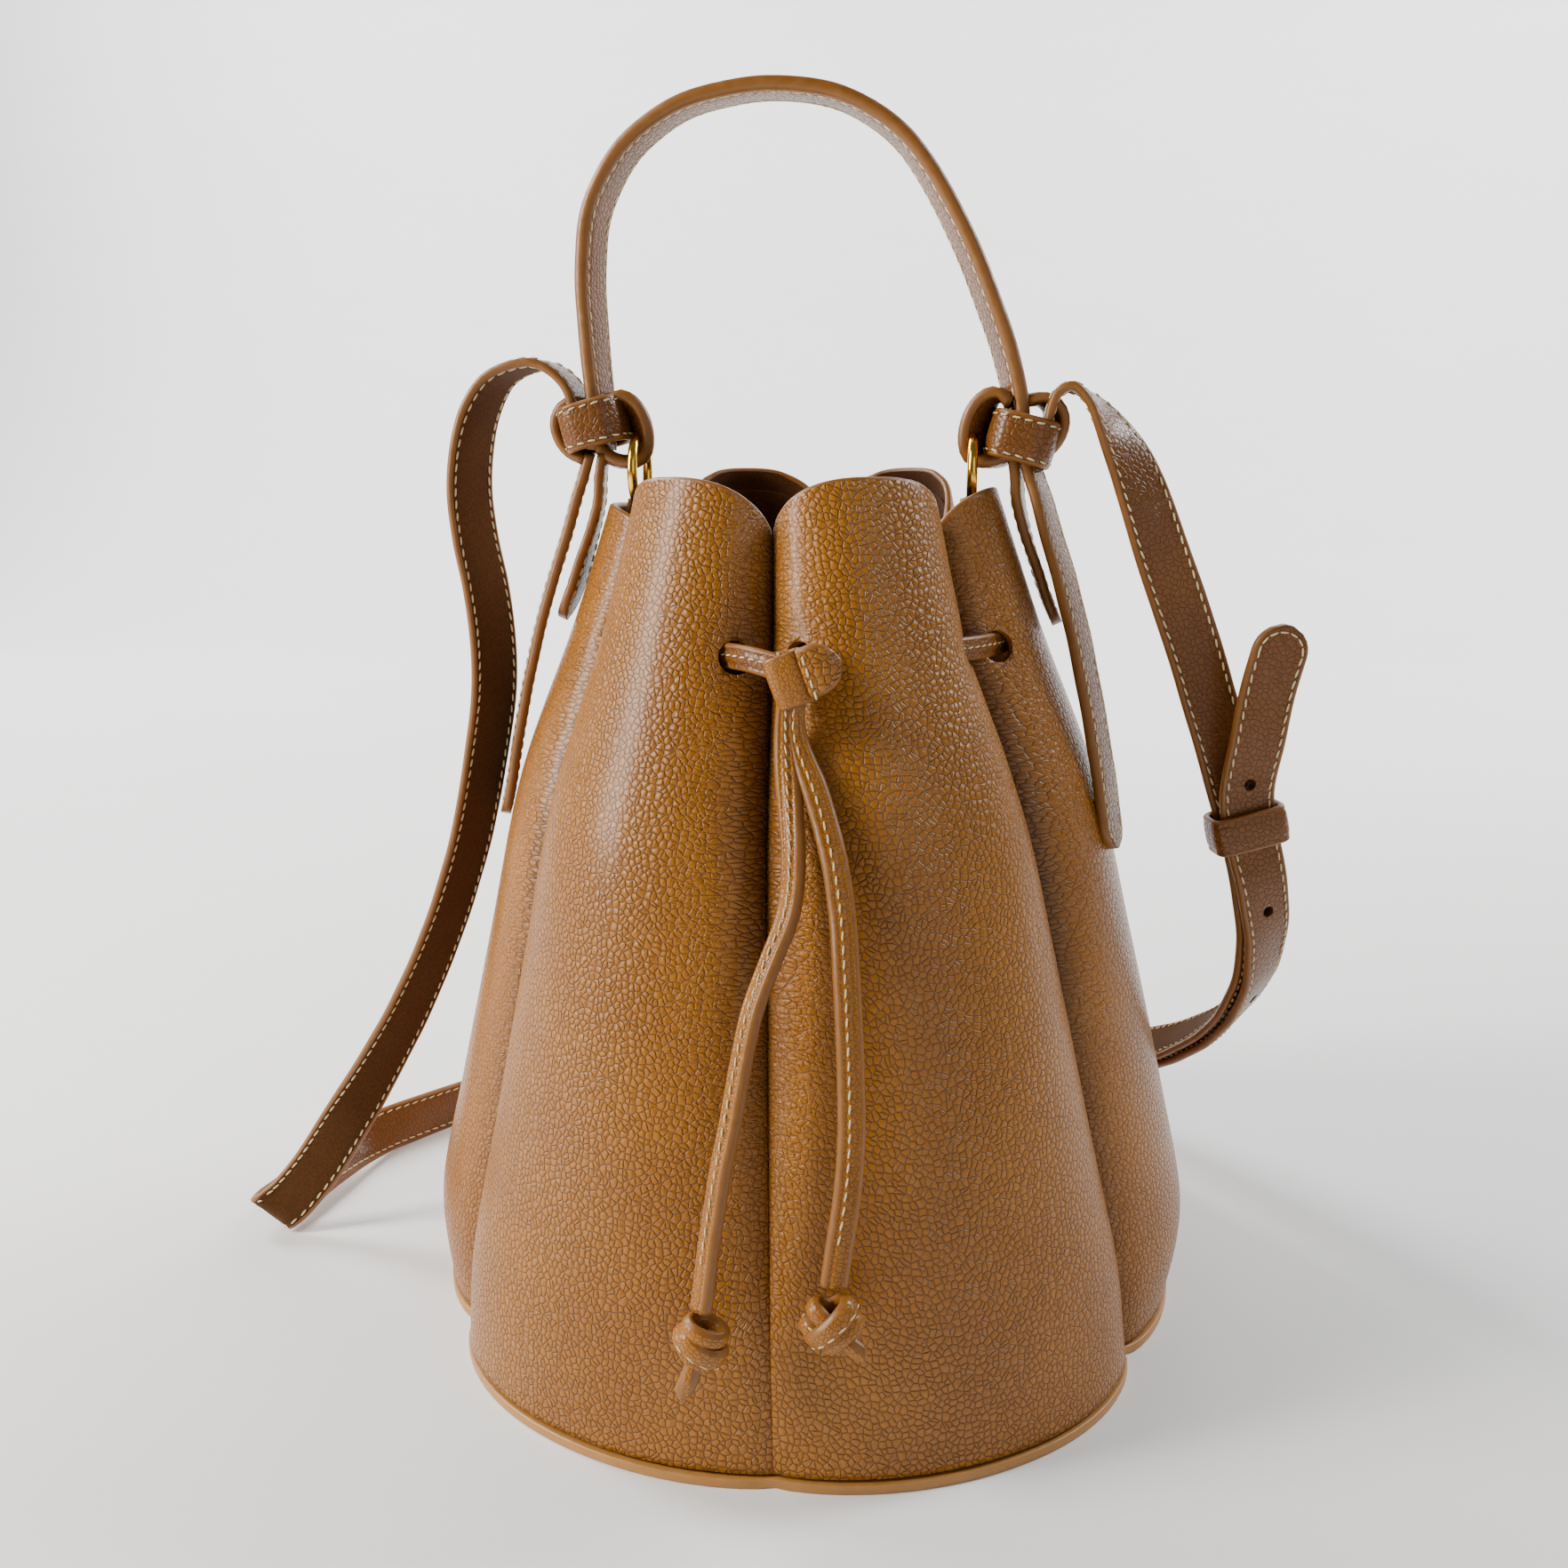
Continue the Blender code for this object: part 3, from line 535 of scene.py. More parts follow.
def lace_tail(side, route, turns, seed):
    """A flat folded lace. turns is its width direction, row by row, from the slider down."""
    wide = np.array([turns[min(i, len(turns) - 1)] for i in range(len(route))], float)
    frames = route_frames(np.hstack([route, wide]), step=1.2 * MM)
    # narrow inside the slider, full width below it
    taper = 0.62 + 0.38 * np.clip((frames.s - 14 * MM) / (18 * MM), 0, 1)
    tail = strap(f"lace_tail_{side}", frames, TAIL_WIDTH, TAIL_THICK, LACE_FACES, crown=0.35 * MM,
                 inset=2.0 * MM, corner=1.3 * MM, taper=taper, waves=0.12 * MM, seed=seed)
    place(tail, "root", (f"drawstring_tail_{side}",))
    return tail, frames


# the left tail turns half edge-on to the front, the right one shows its face
LEFT_TURNS = ((1, 0.1, 0), (1, 0.1, 0), (1, 0.1, 0), (0.95, -0.3, 0), (0.85, -0.5, 0),
              (0.8, -0.6, 0), (0.7, -0.7, 0))
RIGHT_TURNS = ((1, 0.1, 0), (1, 0.1, 0), (1, 0.1, 0), (1, 0.25, 0))
left_tail = lace_tail("left", LEFT_TAIL_ROUTE, LEFT_TURNS, seed=3)
right_tail = lace_tail("right", RIGHT_TAIL_ROUTE, RIGHT_TURNS, seed=4)

# which turns of a knot show their stitch row, and towards which edge
STITCHED_TURNS = {1: -1, 4: 1}
TURN_THICK = 1.9 * MM


def lace_knot(side, centre, turns, tip):
    """The lace wound round itself: slanted turns that cross each other, and a short free end.

    Each turn is (slope of its run across the front in degrees, shift along its axis, reach,
    depth, width), the last four in millimetres."""
    pieces = []
    angles = circle(56)
    for number, (slope, shift, reach, depth, width) in enumerate(turns, 1):
        slope = math.radians(slope)
        run = np.array([math.cos(slope), 0, math.sin(slope)])
        axis = np.array([-run[2], 0, run[0]])
        places = (np.array(centre) * MM + axis * shift * MM
                  + reach * MM * np.cos(angles)[:, None] * run
                  + depth * MM * np.sin(angles)[:, None] * np.array([0, 1.0, 0]))
        frames = Frames(np.hstack([places, np.broadcast_to(axis, places.shape)]), closed=True)
        pieces.append(strap(f"lace_knot_{side}_{number}", frames, width * MM, TURN_THICK, LACE_FACES,
                            crown=0.7 * MM, groove=0.0, corner=0.9 * MM))
        if number in STITCHED_TURNS:
            row = (STITCHED_TURNS[number] * (width / 2 - 1.2) * MM, 1.42 * MM)
            pieces.append(stitch_rows(f"lace_knot_stitches_{side}_{number}", frames, [row], margin=0,
                                      **LACE_STITCHES))
    pieces.append(strap(f"lace_end_{side}", route_frames(tip, step=0.8 * MM), 4.6 * MM, 3.4 * MM,
                        LACE_FACES, crown=0.5 * MM, groove=0.0, corner=1.6 * MM,
                        round_ends=(False, True)))
    knot = place(pieces[0], "root", (f"drawstring_knot_{side}",))
    for piece in pieces[1:]:
        piece.parent = knot
    return pieces


left_knot = lace_knot("left", (-12.6, -119.0, 41.0),
                      ((-32, 0.6, 5.2, 4.0, 5.6), (-18, 4.4, 4.2, 3.3, 4.4),
                       (-56, -1.6, 5.2, 3.3, 5.0)),
                      ((-13.2, -121.0, 38.5, 1, 0, 0.5), (-14.4, -122.4, 35.0, 1, 0, 0.5),
                       (-15.6, -122.2, 32.0, 1, 0, 0.5), (-16.8, -121.6, 29.6, 1, 0, 0.5)))
right_knot = lace_knot("right", (18.2, -117.5, 48.5),
                       ((45, 0.6, 6.0, 4.3, 5.2), (45, -3.0, 4.8, 3.4, 4.6),
                        (-38, 0.4, 5.8, 2.9, 4.6), (-30, -3.4, 5.0, 2.6, 4.4)),
                       ((20.6, -119.4, 46.0, 0.7, 0, 0.7), (22.6, -120.0, 44.6, 0.7, 0, 0.7),
                        (24.6, -120.2, 43.2, 0.7, 0, 0.7), (26.2, -120.2, 42.2, 0.7, 0, 0.7)))
# side, tail, knot, and its stitch row's place across the tail and height over its faces
for side, (tail, frames), knot, across, lift in (
        ("left", left_tail, left_knot, 0.3 * MM, 0.52 * MM),
        ("right", right_tail, right_knot, -0.7 * MM, 0.42 * MM)):
    rows = [(across, face * (TAIL_THICK / 2 + lift)) for face in (1, -1)]
    sewn = place(stitch_rows(f"lace_tail_stitches_{side}", frames, rows, pitch=3.3 * MM,
                             margin=11 * MM, length=2.3 * MM, width=0.5 * MM), "root")


# ---- petals
PETALS = ("front_right", "right", "back_right", "back_left", "left", "front_left")
PETAL_ANGLE = math.pi / 3
WALL_BOTTOM = 3.5 * MM
WALL_HEIGHT = 0.240
WALL_THICK = 2.2 * MM
# (height, radius) of a petal's middle and (height, depth) of the creases between petals
BULGE = ((0.0, 0.1165), (0.03, 0.1140), (0.06, 0.1075), (0.11, 0.0958),
         (0.155, 0.0845), (0.20, 0.0670), (0.240, 0.0535))
FRONT_CREASE = ((0.0, 0.0030), (0.06, 0.0100), (0.14, 0.0140), (0.20, 0.0165), (0.240, 0.0110))
SIDE_CREASE = ((0.0, 0.0110), (0.06, 0.0130), (0.14, 0.0140), (0.20, 0.0165), (0.240, 0.0110))
CREASE_TOP = 225.0 * MM
APEX = tuple(z * MM for z in (239.5, 237.0, 242.5, 242.5, 232.5, 239.5))
SIDE_TUCK = 7.5 * MM
SIDE_TUCK_HEIGHT = 0.032
LACE_Z = 195.0 * MM
EYELET_T = 0.77
TIGHT_EYELET_T = 0.94
EYELET_RADIUS = 4.4 * MM


def lean(z):
    """How far the wall leans left at a height."""
    return -2.3 * MM * (z / WALL_HEIGHT) ** 2


def twist(z):
    """How far the wall turns about its axis at a height."""
    return np.radians(2 - 6 * z / WALL_HEIGHT)


def eyelet_t(petal, side):
    """Where across the petal the lace crosses it: further round at the tight left crease."""
    tight = (petal, side) in ((5, -1), (4, 1))
    return side * (TIGHT_EYELET_T if tight else EYELET_T)


LACE_PINCH = 1.1 * MM
WRINKLE = 0.10 * MM
SLOW_FOLD = 0.45 * MM


def folds(petal, t, z):
    """Small soft folds: where the lace gathers the neck and along the creases."""
    rng = np.random.default_rng(40 + petal)
    gathered = np.exp(-((z - LACE_Z) / 0.035) ** 2)
    out = np.zeros_like(z)
    for side in (-1, 1):
        near = np.exp(-((t - eyelet_t(petal, side)) / 0.16) ** 2 - ((z - LACE_Z) / 0.009) ** 2)
        out -= LACE_PINCH * near
        crease = np.exp(-((np.abs(t - side)) / 0.35) ** 2)
        phase = rng.uniform(0, 6)
        wave = (np.sin(z / (4.3 * MM) + 2.2 * t + phase)
                + 0.6 * np.sin(z / (2.9 * MM) - 3 * t + 2 * phase))
        out += WRINKLE * crease * wave * (0.35 + gathered)
    slow = np.sin(z / 0.031 + rng.uniform(0, 6)) * np.cos(1.7 * t + rng.uniform(0, 6))
    edge = np.clip((1 - np.abs(t)) / 0.25, 0, 1)
    return out * np.clip((1 - np.abs(t)) / 0.05, 0, 1) + SLOW_FOLD * slow * edge


# how full a petal and its top edge stay towards its creases
PETAL_CURVE = (2.4, 0.72)
TOP_CURVE = (2.6, 0.6)


def rounded(t, curve):
    """1 at a petal's middle, falling to 0 at its creases."""
    return np.maximum(1 - np.abs(t) ** curve[0], 0) ** curve[1]


def wall(petal, t, z, detail=True):
    """The wall's outer face, t from -1 to 1 across the petal and z its height."""
    bulge = hermite(BULGE, z)
    if petal % 3 == 1:
        # the side petals tuck in above the base
        bulge = bulge - SIDE_TUCK * np.clip(1 - z / SIDE_TUCK_HEIGHT, 0, 1) ** 2 * (1 - t * t)
    left, right = (hermite(FRONT_CREASE if k % 3 == 0 else SIDE_CREASE, z)
                   for k in (petal, petal + 1))
    depth = np.where(t > 0, right, left)
    radius = bulge - depth * (1 - rounded(t, PETAL_CURVE))
    if detail:
        radius = radius + folds(petal, t, z)
    angle = -math.pi / 2 + (petal + 0.5) * PETAL_ANGLE + t * (PETAL_ANGLE / 2) + twist(z)
    return np.stack([lean(z) + radius * np.cos(angle), radius * np.sin(angle), z], axis=-1)


def petal_top(petal, t):
    return CREASE_TOP + (APEX[petal] - CREASE_TOP) * rounded(t, TOP_CURVE)


def wall_frame(petal, t, z, detail=True):
    """Wall points with their outward normals and upward tangents."""
    def at(t, z):
        return wall(petal, t, z, detail)
    across = at(np.minimum(t + 0.01, 1), z) - at(np.maximum(t - 0.01, -1), z)
    up = unit(at(t, z + 0.5 * MM) - at(t, z - 0.5 * MM))
    return at(t, z), unit(np.cross(across, up)), up


def shell(name, petal, columns, rows, mats, depth=0.0, thick=WALL_THICK, reach=1.0,
          low=WALL_BOTTOM, drop=0.0, detail=True):
    """A wall panel with thickness: outer skin, rounded top rim and inner skin, closed all round."""
    t = reach * np.sin(np.linspace(-math.pi / 2, math.pi / 2, columns))
    top = petal_top(petal, t) - drop - thick / 2
    z = low + np.linspace(0, 1, rows)[:, None] * (top[None, :] - low)
    tt = np.broadcast_to(t, z.shape)
    point, normal, up = wall_frame(petal, tt, z, detail)
    outer = point - normal * depth
    inner = point - normal * (depth + thick)
    middle = point[-1] - normal[-1] * (depth + thick / 2)
    rim = [middle + thick / 2 * (normal[-1] * math.cos(a) + up[-1] * math.sin(a))
           for a in np.linspace(0, math.pi, 8)[1:-1]]
    grid = np.concatenate([outer, np.array(rim), inner[::-1]])
    count = len(grid)
    across = lengths(grid, axis=1)
    across -= across[:, columns // 2][:, None]
    upward = lengths(grid)
    faces, kinds, uvs = [], [], []
    for i in range(count):
        j = (i + 1) % count
        kind = 0 if i < rows - 1 else (1 if i < rows + len(rim) else 2)
        for k in range(columns - 1):
            faces.append((i * columns + k, i * columns + k + 1, j * columns + k + 1, j * columns + k))
            top_v = upward[j, k] if j else upward[i, k] + thick
            uvs += [(across[i, k], upward[i, k]), (across[i, k + 1], upward[i, k + 1]),
                    (across[j, k + 1], top_v), (across[j, k], top_v)]
            kinds.append(kind)
    # the two side ends
    for k, flip in ((0, False), (columns - 1, True)):
        quads = [(i, i + 1, count - 2 - i, count - 1 - i) for i in range(rows - 1)]
        quads.append(tuple(range(rows - 1, rows + len(rim) + 1)))
        for quad in quads:
            face = tuple(r * columns + k for r in quad)
            faces.append(face[::-1] if flip else face)
            kinds.append(0)
            uvs += [(0.0, i * MM) for i in range(len(face))]
    obj = add_object(name, grid.reshape(-1, 3), faces, mats, kinds, uvs)
    # where the leather's material stretches into creases, and painted shade: how much the colour
    # darkens towards the creases, less near the base
    edge = np.abs(tt)
    amounts = {"fold": np.clip((edge - 0.45) / 0.4, 0, 1) * np.exp(-((z - 0.16) / 0.085) ** 2),
               # painted shade, strongest at the creases and higher up the wall
               "crease": (np.clip((edge - 0.80) / 0.2, 0, 1) ** 1.5
                          * np.clip((z - 0.01) / 0.12, 0.15, 1))}
    for key, amount in amounts.items():
        layer = obj.data.attributes.new(key, "FLOAT", "POINT")
        whole = np.concatenate([amount, np.repeat(amount[-1:], len(rim), axis=0), amount[::-1]])
        layer.data.foreach_set("value", whole.astype(np.float32).ravel())
    return obj


for index, petal_name in enumerate(PETALS):
    leather_panel = shell(f"wall_{petal_name}", index, 97, 131, [LEATHER, EDGE, LINING])
    suede_panel = shell(f"suede_{petal_name}", index, 41, 51, [LINING] * 3,
                        depth=WALL_THICK + 0.3 * MM, thick=0.8 * MM, reach=0.9,
                        low=WALL_BOTTOM + 6 * MM, drop=6 * MM, detail=False)
    across = np.array([eyelet_t(index, side) for side in (-1, 1)])
    centres, normals, _ = wall_frame(index, across, np.full(2, LACE_Z), detail=False)
    punch([leather_panel, suede_panel], centres, normals, EYELET_RADIUS, 20 * MM, 32)
    place(leather_panel, "root", (f"petal_{petal_name}",))
    place(suede_panel, "root", (f"lining_{petal_name}",))


# ---- base
def disc(name, node, mats, inset, low, high, radius):
    """A flat disc with the wall's lobed outline and rounded edges."""
    t = np.linspace(-1, 1, 31)[:-1]
    z = np.full_like(t, WALL_BOTTOM)
    outline = np.concatenate([wall(k, t, z, detail=False) for k in range(6)])
    outline[:, 2] = 0
    step = np.roll(outline, -2, axis=0) - np.roll(outline, 2, axis=0)
    outward = unit(np.cross(step, (0, 0, 1.0)))
    profile = [(-4 * radius, low), (-radius, low)]
    profile += [(-radius + radius * math.sin(a), low + radius - radius * math.cos(a))
                for a in np.linspace(0, math.pi / 2, 5)[1:]]
    profile += [(-radius + radius * math.cos(a), high - radius + radius * math.sin(a))
                for a in np.linspace(0, math.pi / 2, 5)]
    profile += [(-4 * radius, high)]
    verts = np.concatenate([outline + outward * (n - inset) + (0, 0, h) for n, h in profile])
    faces = tube_faces(len(profile), len(outline))
    kinds = [1] * len(faces) + [0, 0]
    first, last = end_faces(len(profile), len(outline))
    faces += [first[::-1], last]
    uvs = [(verts[i][0], verts[i][1]) for face in faces for i in face]
    place(add_object(name, verts, faces, mats, kinds, uvs), "root", (node,))


disc("base_leather", "base_panel", [STRAP_LEATHER, BASE_EDGE], -0.8 * MM, 0.0,
     2.6 * MM, 0.5 * MM)
disc("base_suede", "base_lining", [LINING] * 2, 5.5 * MM, 5.3 * MM, 6.1 * MM, 0.3 * MM)
disc("base_stiffener", "base_board", [LINING, EDGE], 5.0 * MM, 3.5 * MM, 5.0 * MM, 0.4 * MM)


# ---- handle and its knots
KNOT_CENTRE_X = -1.5
HANDLE_WIDTH = 13.6 * MM
HANDLE_INSET = 2.4 * MM
# rows of a strap's route: its place in millimetres, then the direction of its width
HANDLE_ROUTE = (
    (-60.6, 0, 247, 0.24, 0.97, 0), (-60.8, 0, 262, 0.24, 0.97, 0), (-62.2, 0, 280, 0.27, 0.96, 0),
    (-62.5, 0, 298, 0.27, 0.96, 0), (-59.5, 0, 314, 0.25, 0.97, 0), (-50, 0, 328.5, 0.18, 0.98, 0),
    (-34, 0, 338.5, 0.08, 1, 0), (-12, 0, 342, 0, 1, 0), (9, 0, 338.5, -0.1, 1, 0),
    (25.5, 0, 327.5, -0.2, 0.98, 0), (38, 0, 309, -0.28, 0.96, 0), (47, 0, 290, -0.32, 0.95, 0),
    (54, 0, 272, -0.32, 0.95, 0), (57.2, 0, 259, -0.28, 0.96, 0), (57.6, 0, 247, -0.28, 0.96, 0))
LOOP_ROUTE = (
    (-59, 0, 260.2, -0.5, 0.87, 0), (-55.6, 0, 261.4, -0.5, 0.87, 0),
    (-52.4, 0, 259.8, -0.5, 0.87, 0), (-50, 0, 256.6, -0.5, 0.87, 0),
    (-48.7, 0, 252.6, -0.5, 0.87, 0), (-48.5, 0, 248.6, -0.5, 0.87, 0),
    (-49.6, 0, 245.4, -0.5, 0.87, 0), (-52.4, 0, 243.8, -0.4, 0.92, 0),
    (-56.2, 0, 244, -0.3, 0.95, 0), (-59.5, 0, 245.8, -0.2, 0.98, 0),
    (-61.5, 0, 248.5, -0.2, 0.98, 0))
OUTER_LOOP_ROUTE = (
    (-63, 0, 260, 0.4, 0.92, 0), (-67, 0, 260.2, 0.4, 0.92, 0), (-70.4, 0, 258, 0.4, 0.92, 0),
    (-71.8, 0, 254.2, 0.4, 0.92, 0), (-70.8, 0, 250, 0.4, 0.92, 0), (-68.2, 0, 246.6, 0.4, 0.92, 0),
    (-64.5, 0, 244.6, 0.4, 0.92, 0))
LONG_TAIL_ROUTE = (
    (-64.6, 0, 246, -0.3, 0.95, 0), (-66.6, 0, 239.2, -0.3, 0.95, 0),
    (-68.6, 0, 233.5, -0.3, 0.95, 0), (-72.6, 0, 221, -0.3, 0.95, 0),
    (-77.4, 0, 207.6, -0.3, 0.95, 0), (-82.6, 0, 190, -0.3, 0.95, 0),
    (-87.4, 0, 170, -0.3, 0.95, 0), (-91.4, 0, 150, -0.3, 0.95, 0), (-94, 0, 138.5, -0.3, 0.95, 0))
SHORT_TAIL_ROUTE = (
    (-60.2, 0, 246, -0.15, 1, 0), (-61.2, 0, 239.2, -0.15, 1, 0), (-61.6, 0, 233, -0.15, 1, 0),
    (-64, 0, 224, -0.1, 1, 0), (-67.4, 0, 214, 0, 1, 0), (-70.4, 0, 206, 0, 1, 0),
    (-73.8, 0, 198.5, 0, 1, 0))
# the right long tail turns its stitched face to the front
RIGHT_LONG_TAIL_ROUTE = (
    (61, 0, 246, 0.3, 0.95, 0), (63, -0.6, 239.2, 0.33, 0.94, 0), (65, -1.8, 233.5, 0.36, 0.93, 0),
    (68.8, -5, 221, 0.4, 0.92, 0), (73, -8.4, 207.6, 0.42, 0.91, 0),
    (77.6, -11.4, 190, 0.42, 0.91, 0), (82, -13.4, 170, 0.42, 0.91, 0),
    (85.6, -15.2, 150, 0.42, 0.91, 0), (87.8, -16.4, 137.2, 0.42, 0.91, 0))
# where a knot tail turns from following the handle to following the bag
TAIL_BEND = {"left": ((-64 * MM, 0, 242 * MM), (-74 * MM, 0, 206 * MM)),
             "right": ((61 * MM, 0, 242 * MM), (71 * MM, 0, 206 * MM))}


def sewn_strap(name, frames, width, thick, mats, sewn_at, body, nodes, bend=None, tip=False,
               margin=2.5 * MM, stitches=None, **look):
    """A strap with stitch rows along its edges on both faces, and round its tip if it has one."""
    made = strap(name, frames, width, thick, mats, round_ends=(False, tip), **look)
    place(made, body, nodes, bend=bend)
    tips = [tip_stitches(frames, width, sewn_at, face * thick / 2) for face in (1, -1) if tip]
    rows = stitch_rows(stitches or f"{name}_stitches", frames, face_rows(width, thick, sewn_at),
                       margin=margin, extra=tips)
    place(rows, body, bend=bend)
    return made


sewn_strap("handle", route_frames(HANDLE_ROUTE), HANDLE_WIDTH, 3.8 * MM, BOTH_FACES, HANDLE_INSET,
           "handle", ("handle_strap",), crown=0.25 * MM, corner=1.5 * MM, inset=HANDLE_INSET,
           waves=0.06 * MM, seed=11)


def mirrored(route):
    return [(2 * KNOT_CENTRE_X - x, y, z, -wx, wy, wz) for x, y, z, wx, wy, wz in route]


def band(name, node, body, mats, centre, inner, height, thick, tilt, power, crown=0.35 * MM,
         stitched=False):
    """A closed band round a rounded rectangle, centre and inner size in millimetres."""
    count, inset = 72, 1.6 * MM
    half_x, half_y = ((size * MM + thick) / 2 for size in inner)
    c, s = np.cos(circle(count)), np.sin(circle(count))
    flat = np.stack([half_x * np.sign(c) * np.abs(c) ** power,
                     half_y * np.sign(s) * np.abs(s) ** power, np.zeros(count)], axis=1)
    # every point an equal way round
    loop = np.vstack([flat, flat[:1]])
    at = np.linspace(0, lengths(loop)[-1], count, endpoint=False)
    flat = np.stack([np.interp(at, lengths(loop), column) for column in loop.T], axis=1)
    spin = np.array(Euler(tilt).to_matrix())
    places = flat @ spin.T + np.array(centre) * MM
    wide = np.broadcast_to(spin[:, 2], places.shape)
    frames = Frames(np.hstack([places, wide]), closed=True)
    place(strap(name, frames, height, thick, mats, crown=crown, inset=inset, corner=0.9 * MM),
          body, (node,))
    if stitched:
        rows = [(side * (height / 2 - inset), thick / 2 + 0.12 * MM) for side in (-1, 1)]
        place(stitch_rows(f"{name}_stitches", frames, rows, margin=0.0, pitch=3.2 * MM,
                          length=2.3 * MM), body)


KNOTS = (
    (-1, "left", (-62.0, 0, 254.0), LOOP_ROUTE, OUTER_LOOP_ROUTE, LONG_TAIL_ROUTE, SHORT_TAIL_ROUTE),
    (1, "right", (59.0, 0, 249.5), mirrored(LOOP_ROUTE), mirrored(OUTER_LOOP_ROUTE),
     RIGHT_LONG_TAIL_ROUTE, mirrored(SHORT_TAIL_ROUTE)))
for side, name, centre, loop_route, outer_route, long_route, short_route in KNOTS:
    band(f"wrap_{name}", f"knot_wrap_{name}", "handle", SUEDE_BACKED, centre, (14.8, 18.6), 13.0 * MM,
         2.0 * MM, (0, side * math.radians(14), 0), 0.62, stitched=True)
    loop = strap(f"loop_{name}", route_frames(loop_route), 13.0 * MM, 3.2 * MM, BOTH_FACES,
                 crown=0.5 * MM, corner=1.2 * MM)
    place(loop, "handle", (f"knot_loop_{name}",))
    outer_loop = strap(f"outer_loop_{name}", route_frames(outer_route), 11.0 * MM, 2.8 * MM,
                       BOTH_FACES, crown=0.5 * MM, corner=1.2 * MM)
    outer_loop.parent = loop
    for kind, route, thick in (("long", long_route, 2.8 * MM), ("short", short_route, 2.6 * MM)):
        sewn_strap(f"knot_tail_{kind}_{name}", route_frames(route), 13.8 * MM, thick, BOTH_FACES,
                   2.0 * MM, "handle", (f"tail_{kind}_{name}",), bend=TAIL_BEND[name], tip=True,
                   margin=7 * MM, stitches=f"knot_tail_{kind}_stitches_{name}", crown=0.2 * MM,
                   waves=0.08 * MM, seed=20 + side)


# ---- rings and their tabs
RING_Z = 240.9
RING_RADIUS = 10.0
WIRE_RADIUS = 1.4 * MM
RING_STEPS, WIRE_STEPS = 96, 24
TAB_REACH = 2.7
TAB_DROP = 20
for side, name in ((-1, "left"), (1, "right")):
    ring_x = -2.0 + side * 47.6
    around = np.stack([np.zeros(RING_STEPS), np.cos(circle(RING_STEPS)),
                       np.sin(circle(RING_STEPS))], axis=1)
    places = np.array((ring_x, 0, RING_Z)) * MM + around * RING_RADIUS * MM
    frames = Frames(np.hstack([places, np.broadcast_to([1.0, 0, 0], around.shape)]), closed=True)
    b = circle(WIRE_STEPS)[None, :, None]
    grid = frames.places[:, None, :] + WIRE_RADIUS * (np.cos(b) * frames.out[:, None, :]
                                                      + np.sin(b) * frames.wide[:, None, :])
    faces = [(a, d, c, b) for a, b, c, d in tube_faces(RING_STEPS, WIRE_STEPS, closed=True)]
    ring = add_object(f"o_ring_{name}", grid.reshape(-1, 3), faces, [GOLD])
    place(ring, "handle", (f"ring_{name}",))

    # the tab goes up one side of the wire, over it and down the other
    wire_z = RING_Z - RING_RADIUS
    turn = [(-side * TAB_REACH * math.cos(q), TAB_REACH * math.sin(q))
            for q in np.radians([180, 135, 90, 45, 0])]
    turn = [(side * TAB_REACH, -TAB_DROP), *turn, (-side * TAB_REACH, -TAB_DROP)]
    route = [(ring_x + dx, 0, wire_z + dz, 0, 1, 0) for dx, dz in turn]
    tab = strap(f"tab_{name}", route_frames(route, step=1.0 * MM), 6.4 * MM, 1.2 * MM, SUEDE_BACKED,
                corner=0.5 * MM)
    place(tab, "root", (f"ring_tab_{name}",))


# ---- shoulder strap
LEFT_ROUTE = (
    (-66, 0, 247, 0, 1, 0), (-66.6, 0, 252.5, 0, 1, 0), (-66.8, 0, 258, 0.05, 1, 0),
    (-68.6, 0, 264.3, 0.1, 1, 0), (-73.5, 0, 269.3, 0.12, 1, 0), (-80, 0, 271, 0.18, 1, 0),
    (-90, 0, 267.3, 0.3, 0.95, 0), (-96, 0, 259, 0.42, 0.9, 0), (-99.5, 0, 248, 0.5, 0.87, 0),
    (-100.8, 0, 235, 0.55, 0.83, 0), (-99.8, 0, 222, 0.58, 0.81, 0), (-97.4, 0, 208, 0.6, 0.8, 0),
    (-95.8, 0, 194, 0.6, 0.8, 0), (-95.9, 0, 178, 0.6, 0.8, 0), (-98.2, 0, 163, 0.58, 0.81, 0),
    (-101.2, -1, 147, 0.55, 0.83, -0.05), (-105, -2, 130, 0.53, 0.84, -0.1),
    (-110.6, -3, 112, 0.53, 0.83, -0.15), (-118.6, -4, 92, 0.56, 0.8, -0.2),
    (-128.2, -5, 72, 0.62, 0.72, -0.3), (-138.8, -7, 53, 0.68, 0.56, -0.4),
    (-148.6, -9, 37, 0.76, 0.25, -0.48), (-158, -12, 22, 0.77, 0.1, -0.58),
    (-166, -15, 12, 0.77, 0.05, -0.62), (-171.2, -16.5, 7.8, 0.78, 0.1, -0.62),
    (-173.2, -14.5, 6.8, 0.8, 0.12, -0.58), (-172.8, -10, 6.9, 0.84, 0.12, -0.5),
    (-171, 0, 6.8, 0.88, 0.08, -0.46), (-168.8, 14, 6.8, 0.88, 0, -0.45),
    (-165, 30, 7.4, 0.7, 0, -0.7), (-158.5, 43, 8, 0.45, 0.2, -0.85),
    (-148, 58, 8, 0.35, 0.3, -0.85), (-130, 80, 8, 0.3, 0.4, -0.85),
    (-104, 102, 8.2, 0.2, 0.4, -0.88), (-72, 119, 8.6, 0.1, 0.3, -0.95), (-36, 128, 9, 0, 0.1, -1),
    (0, 131, 10, 0, 0, -1), (34, 127, 14, 0, -0.05, -1), (66, 116, 21.2, -0.1, -0.15, -0.95))
